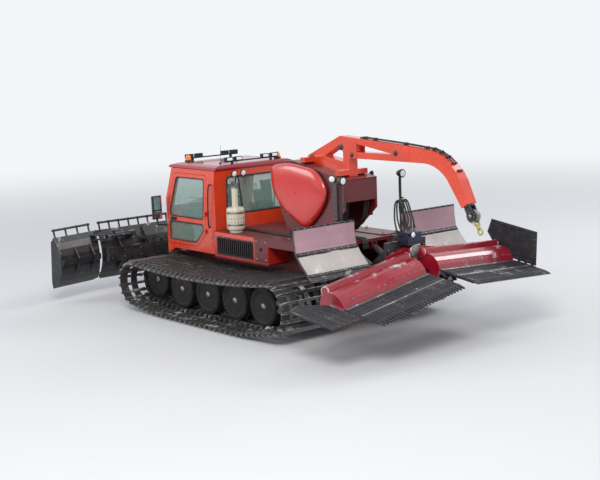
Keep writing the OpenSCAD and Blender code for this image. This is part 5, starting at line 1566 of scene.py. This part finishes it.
def makeCarrierFittings():
    # Valve cover, then its ports, the tilt pin's cap and a work lamp
    x, top = tiller["plateX"], tiller["coverTop"]
    shape = Shape()
    cover = rectangle(x - 0.268, tiller["flexZ"] + 0.14, x - 0.045, top + 0.012, 0.03, 4)
    shape.prism(cover[::-1], -0.158, 0.158)
    navy = paint("navy_cover", "navy", 0.4, 0.3)
    shape.piece("valve_cover", "tiller_carrier", navy, bevel=0.008, segments=3)

    shape = Shape()
    port = [(0, 0.022), (0.02, 0.022), (0.024, 0.017), (0.05, 0.017)]
    for y in (-0.1, 0.0, 0.1):
        shape.lathe(port, (x - 0.16, y, top + 0.012), (0, 0, 1), 6, False)
    for y in (-0.432, 0.432):
        for z in (1.18, 1.38, 1.58):
            shape.bolt((x - 0.05, y, z), (-1, 0, 0), 0.016)
    shape.cap((0.016, 0.11), (0.03, 0.09), (x - 0.24, 0, tiller["flexZ"]), (-1, 0, 0), 28)
    lamp = (x - 0.30, 0.1, top - 0.02)
    shape.mark = 1
    shape.lathe([(-0.03, 0.03), (0.0, 0.048), (0.03, 0.052)], lamp, (-1, 0, 0), 22)
    shape.mark = 2
    shape.lathe([(0.028, 0.047), (0.038, 0.04), (0.044, 0.0)], lamp, (-1, 0, 0), 22)
    materials = [extra["bolt"], finishes["black_plastic"], extra["clear"]]
    shape.piece("carrier_fittings", "tiller_carrier", materials)


def makeCarrierHoses():
    # Four hoses over the gallows and one down each side of the plate
    x, top = tiller["plateX"], tiller["coverTop"]
    shape = Shape()
    for port, y in ((-0.1, -0.08), (0.0, -0.03), (0.1, 0.03), (0.1, 0.08)):
        path = [(-0.16, port, top + 0.06), (-0.15, y * 1.1, top + 0.2), (-0.1, y, 2.2),
                (-0.03, y, 2.36), (0.05, y, 2.385), (0.12, y, 2.3), (0.1, y * 1.4, 2.05),
                (0.02, y * 1.8, 1.88), (-0.03, y * 1.9, 1.853)]
        hosePipe(shape, [(x + ahead, across, z) for ahead, across, z in path], 0.015)
    for side in (-1, 1):
        path = [(-0.1, 0.158, top - 0.06), (-0.1, 0.26, top - 0.04), (-0.06, 0.34, 1.72),
                (-0.02, 0.38, 1.66), (-0.03, 0.4, 1.58), (-0.052, 0.4, 1.5)]
        hosePipe(shape, [(x + ahead, side * across, z) for ahead, across, z in path], 0.013)
    shape.piece("carrier_hoses", "tiller_carrier", extra["hose"])


def makeLinkFittings():
    # Pin caps on the lift frame, then its hoses
    shape = Shape()
    for side in (-1, 1):
        for x, z in tiller["liftPins"]:
            y = side * (tiller["liftPinY"] + 0.0005)
            shape.cap((0.012, 0.042), (0.017, 0.034), (x, y, z), (0, side, 0))
            shape.bolt((x, side * (tiller["liftPinY"] + 0.017), z), (0, side, 0), 0.012)
    shape.piece("lift_pin_caps", "tiller_frame", extra["bolt"])
    path = [(-2.62, 0.34, 0.80), (-2.78, 0.332, 0.92), (-3.0, 0.332, 1.085), (-3.18, 0.332, 1.21)]
    hoses("lift_frame_hoses", "tiller_frame", [path], 0.012)


for halfSide in (1, -1):
    makeHood(halfSide)
    makeHoodFittings(halfSide)
    makeComb(halfSide)
    makeFinisher(halfSide)
makeCarrierFittings()
makeCarrierHoses()
makeLinkFittings()
print("tiller dressed")

deck = {
    "z": 1.6,
    "rear": -2.35,
    "halfBody": 1.05,
    "panelTop": 1.592,
    "silencer": (0.3, 0.85),
    "silencerRadius": 0.1725,
    "guardLine": [(-2.7, 2.06), (-2.712, 1.85), (-2.745, 1.66), (-2.86, 1.5), (-3.02, 1.34), (-3.15, 1.215)],
    "guardSpan": (0.56, 1.96),
    "guardHalf": 0.008,
    "guardBoards": [(0, 0.03, 0.42, 0.012), (1, 0.435, 0.475, 0.022), (2, 0.5, 0.86, 0.010),
                    (1, 0.0, 0.022, 0.018), (1, 0.88, 0.91, 0.016)],
    "guardBolts": [(0.455, 0.022), (0.895, 0.016), (0.011, 0.018)],
    "post": (-2.56, 0.72),
    "postLampZ": 2.74,
    "lampFrame": (0.63, 0.53),
    "bed": (-2.26, -1.32, 0.56, 1.03, 0.014),
    "toolBox": (-0.15, 0.52, -0.98, -0.62, 0.3),
    "grille": (-0.47, 0.66, 1.51),
}


def bandOn(line, start, end, low, high):
    # Closed outline of a strip that lies between two distances off a line, over a share of it
    points = [Vector(p) for p in line]
    spans = [(b - a).length for a, b in zip(points, points[1:])]
    total = sum(spans)

    def spot(share):
        want = share * total
        for a, b, span in zip(points, points[1:], spans):
            if want <= span + 1e-9:
                return a.lerp(b, want / span), (b - a).normalized()
            want -= span
        return points[-1], (points[-1] - points[-2]).normalized()

    rows = [spot(start + (end - start) * i / 10) for i in range(11)]
    outer = [(p.x + t.y * high, p.y - t.x * high) for p, t in rows]
    inner = [(p.x + t.y * low, p.y - t.x * low) for p, t in rows]
    return outer + inner[::-1]


def makeGuardBoards():
    # Board on the upper flap in a pale colour tinted lilac as painted shade, dark clamp bar, pale lower board and
    # bolts, on the side away from the cab
    skin = deck["guardHalf"] + 0.0005
    y0, y1 = deck["guardSpan"]
    line = deck["guardLine"]
    shape = Shape()
    for side in (-1, 1):
        for mark, start, end, thick in deck["guardBoards"]:
            shape.mark = mark
            shape.prism(bandOn(line, start, end, skin, skin + thick), side * (y0 + 0.02), side * (y1 - 0.02))
        shape.mark = 3
        for share, thick in deck["guardBolts"]:
            outline = bandOn(line, share - 0.001, share + 0.001, skin, skin + thick)
            (ax, az), (bx, bz) = outline[5], outline[-6]
            for y in even(y0 + 0.1, y1 - 0.1, 9):
                shape.bolt((ax, side * y, az), (ax - bx, 0, az - bz), 0.012)
    # The upper board's colour is the pale board with painted shade
    upper = paint("shaded_pale_board", "shadedPale", 0.6, 0.0, 0.2, snow=0.2)
    lower = paint("chalk_board", "chalk", 0.6, 0.0, 0.3, snow=0.3)
    materials = [upper, finishes["black_steel"], lower, extra["bolt"]]
    shape.piece("guard_boards", "root", materials, bevel=0.0015)


def makeSilencerFittings():
    # Band clamps, base bolts, rain flap and a heat shield of upright rods
    x, y = deck["silencer"]
    z, r = deck["z"], deck["silencerRadius"]
    shape = Shape()
    for h in (0.15, 0.38):
        clamp = [(h - 0.018, r), (h - 0.018, r + 0.0045), (h + 0.018, r + 0.0045), (h + 0.018, r)]
        shape.lathe(clamp, (x, y, z), (0, 0, 1), 40)
        shape.box((x - 0.03, y + 0.172, z + h - 0.018), (x + 0.03, y + 0.196, z + h + 0.018))
    shape.boltRing((x, y, z + 0.053), (0, 0, 1), 0.142, 6, 0.01, 15)
    rim = [(0.84, 0.0585), (0.84, 0.064), (0.875, 0.064), (0.875, 0.056)]
    shape.lathe(rim, (x, y, z), (0, 0, 1), 32)
    shape.mark = 1
    hinge = Vector((x + 0.06, y, z + 0.878))
    tilt = Vector((-math.sin(math.radians(38)), 0, math.cos(math.radians(38))))
    flap = [(0, 0.0), (0, 0.064), (0.005, 0.064), (0.006, 0.0)]
    shape.lathe(flap, hinge + Vector((-0.05, 0, 0.04)), tilt, 32)
    shape.tube([hinge + Vector((0, -0.03, 0.0)), hinge + Vector((0, 0.03, 0.0))], 0.008, 10)
    shape.box(hinge - Vector((0, 0.012, 0.012)), hinge + Vector((0.045, 0.012, 0.004)))
    shape.mark = 2
    for k in range(9):
        a = math.radians(96 + 21 * k)
        px, py = x + r * math.cos(a), y + r * math.sin(a)
        for low in (z + 0.18, z + 0.25):
            shape.tube([(px, py, low), (px, py, low + 0.04)], 0.005, 8)
    materials = [extra["bolt"], finishes["gray_steel"], finishes["black_steel"]]
    shape.piece("silencer_fittings", "root", materials, bevel=0.0015)


def makeLampFrame():
    # Two legs that lean together behind the cab, two cross bars and two work lamps
    z = deck["z"]
    x, middle = deck["lampFrame"]
    shape = Shape()
    for y in (middle - 0.09, middle + 0.09):
        inner, top = middle + (y - middle) * 0.6, middle + (y - middle) * 0.25
        leg = [(x - 0.03, y, z), (x - 0.02, y, z + 0.3), (x - 0.005, inner, z + 0.8), (x, top, z + 1.02)]
        shape.tube(smoothPath(leg), 0.016, 12)
        shape.lathe([(0, 0.045), (0.01, 0.045)], (x - 0.03, y, z), (0, 0, 1), 16)
    shape.tube([(x - 0.005, middle - 0.07, z + 0.62), (x - 0.005, middle + 0.07, z + 0.62)], 0.012, 10)
    shape.tube([(x, middle - 0.13, z + 1.02), (x, middle + 0.13, z + 1.02)], 0.014, 10)
    for y in (middle - 0.11, middle + 0.11):
        lamp = (x - 0.04, y, z + 1.08)
        shape.mark = 0
        shape.lathe([(-0.03, 0.03), (0.0, 0.055), (0.035, 0.06)], lamp, (-1, 0, -0.15), 22)
        shape.mark = 1
        shape.lathe([(0.033, 0.054), (0.044, 0.044), (0.05, 0.0)], lamp, (-1, 0, -0.15), 22)
    shape.piece("lamp_frame", "root", [finishes["black_steel"], extra["clear"]])


def makeDeckFittings():
    # Tie rings and deck bolts, the tool box and a hose bundle over the deck
    z = deck["z"]
    shape = Shape()
    x0, x1, y0, y1, h = deck["bed"]
    for side in (-1, 1):
        for x in (x0 + 0.07, x1 - 0.07):
            for y in (y0 + 0.07, y1 - 0.07):
                shape.mark = 0
                shape.cap((0.004, 0.045), (0.008, 0.036), (x, side * y, z + h), (0, 0, 1))
                shape.mark = 1
                ring = arc((x, z + h + 0.012), 0.026, 0, 180, 12)
                shape.tube([(rx, side * y, rz) for rx, rz in ring], 0.0055, 8)
        for k in range(9):
            shape.bolt((deck["rear"] + 0.16 + k * 0.34, side * 1.03, z), (0, 0, 1), 0.009)
    shape.piece("tie_rings", "root", [finishes["black_steel"], extra["bolt"]])

    shape = Shape()
    x0, x1, y0, y1, h = deck["toolBox"]
    shape.prism(rectangle(x0, z + 0.001, x1, z + h, 0.03, 4)[::-1], y0, y1)
    lid = rectangle(x0 - 0.01, z + h - 0.08, x1 + 0.01, z + h + 0.015, 0.03, 4)
    shape.prism(lid[::-1], y0 - 0.012, y1 + 0.012)
    shape.mark = 1
    for x in (x0 + 0.15, x1 - 0.15):
        for y, way in ((y0 - 0.012, -1), (y1 + 0.012, 1)):
            shape.box((x - 0.02, y, z + 0.15), (x + 0.02, y + way * 0.014, z + 0.27))
    materials = [paint("service_box", "guardRubber", 0.45, 0.2), extra["bolt"]]
    shape.piece("tool_box", "root", materials, bevel=0.004)

    shape = Shape()
    for k in range(4):
        y, end = 0.47 + 0.032 * k, -0.05 + 0.034 * k
        path = [(0.72, y, 0.1), (0.62, y, 0.03), (0.3, y + 0.01, 0.016),
                (-0.3, y + 0.03 + 0.015 * math.sin(k), 0.016), (-0.9, y + 0.05, 0.016),
                (-1.25, y + 0.03, 0.018), (-1.7, y - 0.38 + 0.02 * k, 0.02), (-2.25, end, 0.02),
                (-2.37, end, -0.02), (-2.38, end, -0.16)]
        hosePipe(shape, [(x, across, z + rise) for x, across, rise in path], 0.014)
    shape.piece("deck_hoses", "root", extra["hose"])


def makeSideTrim():
    # Red strip over the grille, panels behind it in the red with painted shade, hinges, grille screws and a latch
    x0, x1, z1 = deck["grille"]
    top, y = deck["panelTop"], deck["halfBody"]
    strips = [
        (0, (x0 - 0.03, z1 + 0.016, x1 + 0.06, top), 0.012),
        (1, (-0.89, 1.145, x0 - 0.045, top), 0.02),
        (1, (-2.34, 1.455, -0.905, top), 0.015),
    ]
    shape = Shape()
    for side in (-1, 1):
        skin = side * (y + 0.004)
        for mark, corners, radius in strips:
            shape.mark = mark
            shape.prism(rectangle(*corners, radius)[::-1], side * (y + 0.0003), skin)
        shape.mark = 2
        for x in (-0.83, -0.56):
            for z in (1.2, 1.53):
                shape.lathe([(0, 0.02), (0.004, 0.018), (0.006, 0.0)], (x, skin, z), (0, side, 0), 14)
        for x in even(x0 + 0.02, x1 - 0.02, 8):
            screw = (x, side * (y - 0.005), z1 - 0.014)
            shape.lathe([(0, 0.009), (0.003, 0.008), (0.005, 0.0)], screw, (0, side, 0), 10)
        shape.mark = 3
        shape.box((-0.72, skin, 1.36), (-0.67, side * (y + 0.02), 1.42))
    materials = [finishes["orange_red"], finishes["dark_red"], extra["bolt"], finishes["black_plastic"]]
    shape.piece("side_trim", "root", materials, bevel=0.0012)


def makePostLamps():
    # Bezel, lens, wire and foot of each rear lamp post
    x, y = deck["post"]
    foot = [(0, 0.05), (0.014, 0.05), (0.016, 0.03), (0.05, 0.03)]
    wire = [(0.03, 2.7), (0.034, 2.5), (0.027, 2.2), (0.027, 1.7), (0.05, 1.62)]
    shape = Shape()
    for side in (-1, 1):
        lamp = (x - 0.06, side * y, deck["postLampZ"])
        shape.mark = 0
        shape.lathe([(0.0, 0.0752), (0.006, 0.078), (0.012, 0.072)], lamp, (-1, 0, 0), 28)
        shape.tube(smoothPath([(x + out, side * y, z) for out, z in wire]), 0.006, 8)
        shape.lathe(foot, (x, side * y, deck["z"]), (0, 0, 1), 20)
        shape.mark = 1
        shape.lathe([(0.004, 0.072), (0.016, 0.05), (0.02, 0.0)], lamp, (-1, 0, 0), 28)
    shape.piece("post_lamp_lenses", "root", [finishes["black_plastic"], extra["clear"]])


makeGuardBoards()
makeSilencerFittings()
makeLampFrame()
makeDeckFittings()
makeSideTrim()
makePostLamps()
print("deck dressed")

# The photograph's view: the camera stands behind and to the left of the machine
view = {
    "azimuth": 40.0,
    "elevation": 9.0,
    "roll": -2.0,
    "distance": 24.0,
    "aim": (-0.15, 0.0, 1.42),
    "lens": 76.0,
}
stage = {
    "white": (0.9, 0.92, 0.94),
    "floorRadius": 90.0,
    "paper": [(0.76, 0.77, 0.79), (0.79, 0.8, 0.82)],
    "fade": (8.0, 34.0),
    "sky": (0.92, 0.95, 1.0),
    "skyStrength": 0.55,
}
# Name: place, aim's height, size, power and tint
lamps = {
    "key_lamp": ((-13.0, 13.0, 15.0), 1.2, 8.0, 2300.0, (1.0, 0.97, 0.93)),
    "fill_lamp": ((12.0, 14.0, 8.0), 1.2, 9.0, 750.0, (0.94, 0.97, 1.0)),
    "rim_lamp": ((-4.0, -16.0, 13.0), 1.5, 8.0, 1100.0, (1.0, 1.0, 1.0)),
}


def placeCamera():
    # Long lens from the side and a little above, as in the photograph
    around, above = math.radians(view["azimuth"]), math.radians(view["elevation"])
    level = math.cos(above)
    ahead = Vector((math.cos(around) * level, -math.sin(around) * level, -math.sin(above)))
    camera = bpy.data.objects.new("camera", bpy.data.cameras.new("camera"))
    camera.data.lens = view["lens"]
    camera.data.sensor_width = 36.0
    camera.data.clip_end = 500.0
    camera.location = Vector(view["aim"]) - ahead * view["distance"]
    turn = ahead.to_track_quat("-Z", "Y").to_matrix() @ Matrix.Rotation(math.radians(view["roll"]), 3, "Z")
    camera.rotation_euler = turn.to_euler()
    bpy.context.scene.collection.objects.link(camera)
    bpy.context.scene.camera = camera


def areaLamp(name, place, aimZ, size, power, tint):
    # Round soft lamp that looks at the machine's middle
    lamp = bpy.data.objects.new(name, bpy.data.lights.new(name, "AREA"))
    lamp.data.shape = "DISK"
    lamp.data.size = size
    lamp.data.energy = power
    lamp.data.color = tint
    lamp.location = place
    ahead = Vector((0, 0, aimZ)) - Vector(place)
    lamp.rotation_euler = ahead.to_track_quat("-Z", "Y").to_euler()
    bpy.context.scene.collection.objects.link(lamp)


def makeFloor():
    # Paper floor that fades to white far away, for the camera's own rays only
    radius = stage["floorRadius"]
    bpy.ops.mesh.primitive_circle_add(vertices=96, radius=radius, fill_type="NGON", location=(0, 0, -0.002))
    floor = bpy.context.object
    floor.name = "floor"
    g = Graph("floor_paper")
    g.set(Base_Color=g.mix(g.noise(0.4), *stage["paper"]), Roughness=0.9)
    away = g.add("ShaderNodeVectorMath", {"operation": "LENGTH"}, {0: g.place}, out="Value")
    far = away.over(*stage["fade"])
    glow = g.add("ShaderNodeEmission", None, {"Color": stage["white"], "Strength": 1.0})
    seen = g.add("ShaderNodeLightPath", out="Is Camera Ray")
    g.blend(far * seen, glow, "Material Output")
    floor.data.materials.append(g.material)


def makeSky():
    # Soft light from all round; the camera, reflections and glass see plain white
    world = bpy.data.worlds.new("soft_room")
    bpy.context.scene.world = world
    g = Graph(world.name, world)
    g.set(Color=stage["sky"], Strength=stage["skyStrength"])
    white = g.add("ShaderNodeBackground", None, {"Color": stage["white"], "Strength": 1.0})
    seen = 0.0
    for kind in ("Is Camera Ray", "Is Glossy Ray", "Is Transmission Ray"):
        ray = g.add("ShaderNodeLightPath", out=kind)
        seen = g.add("ShaderNodeMath", {"operation": "ADD", "use_clamp": True}, {0: seen, 1: ray})
    g.blend(seen, white, "World Output")


placeCamera()
makeFloor()
for lampName, lampValues in lamps.items():
    areaLamp(lampName, *lampValues)
makeSky()
bpy.context.scene.view_settings.view_transform = "Standard"
print("stage and camera ready")
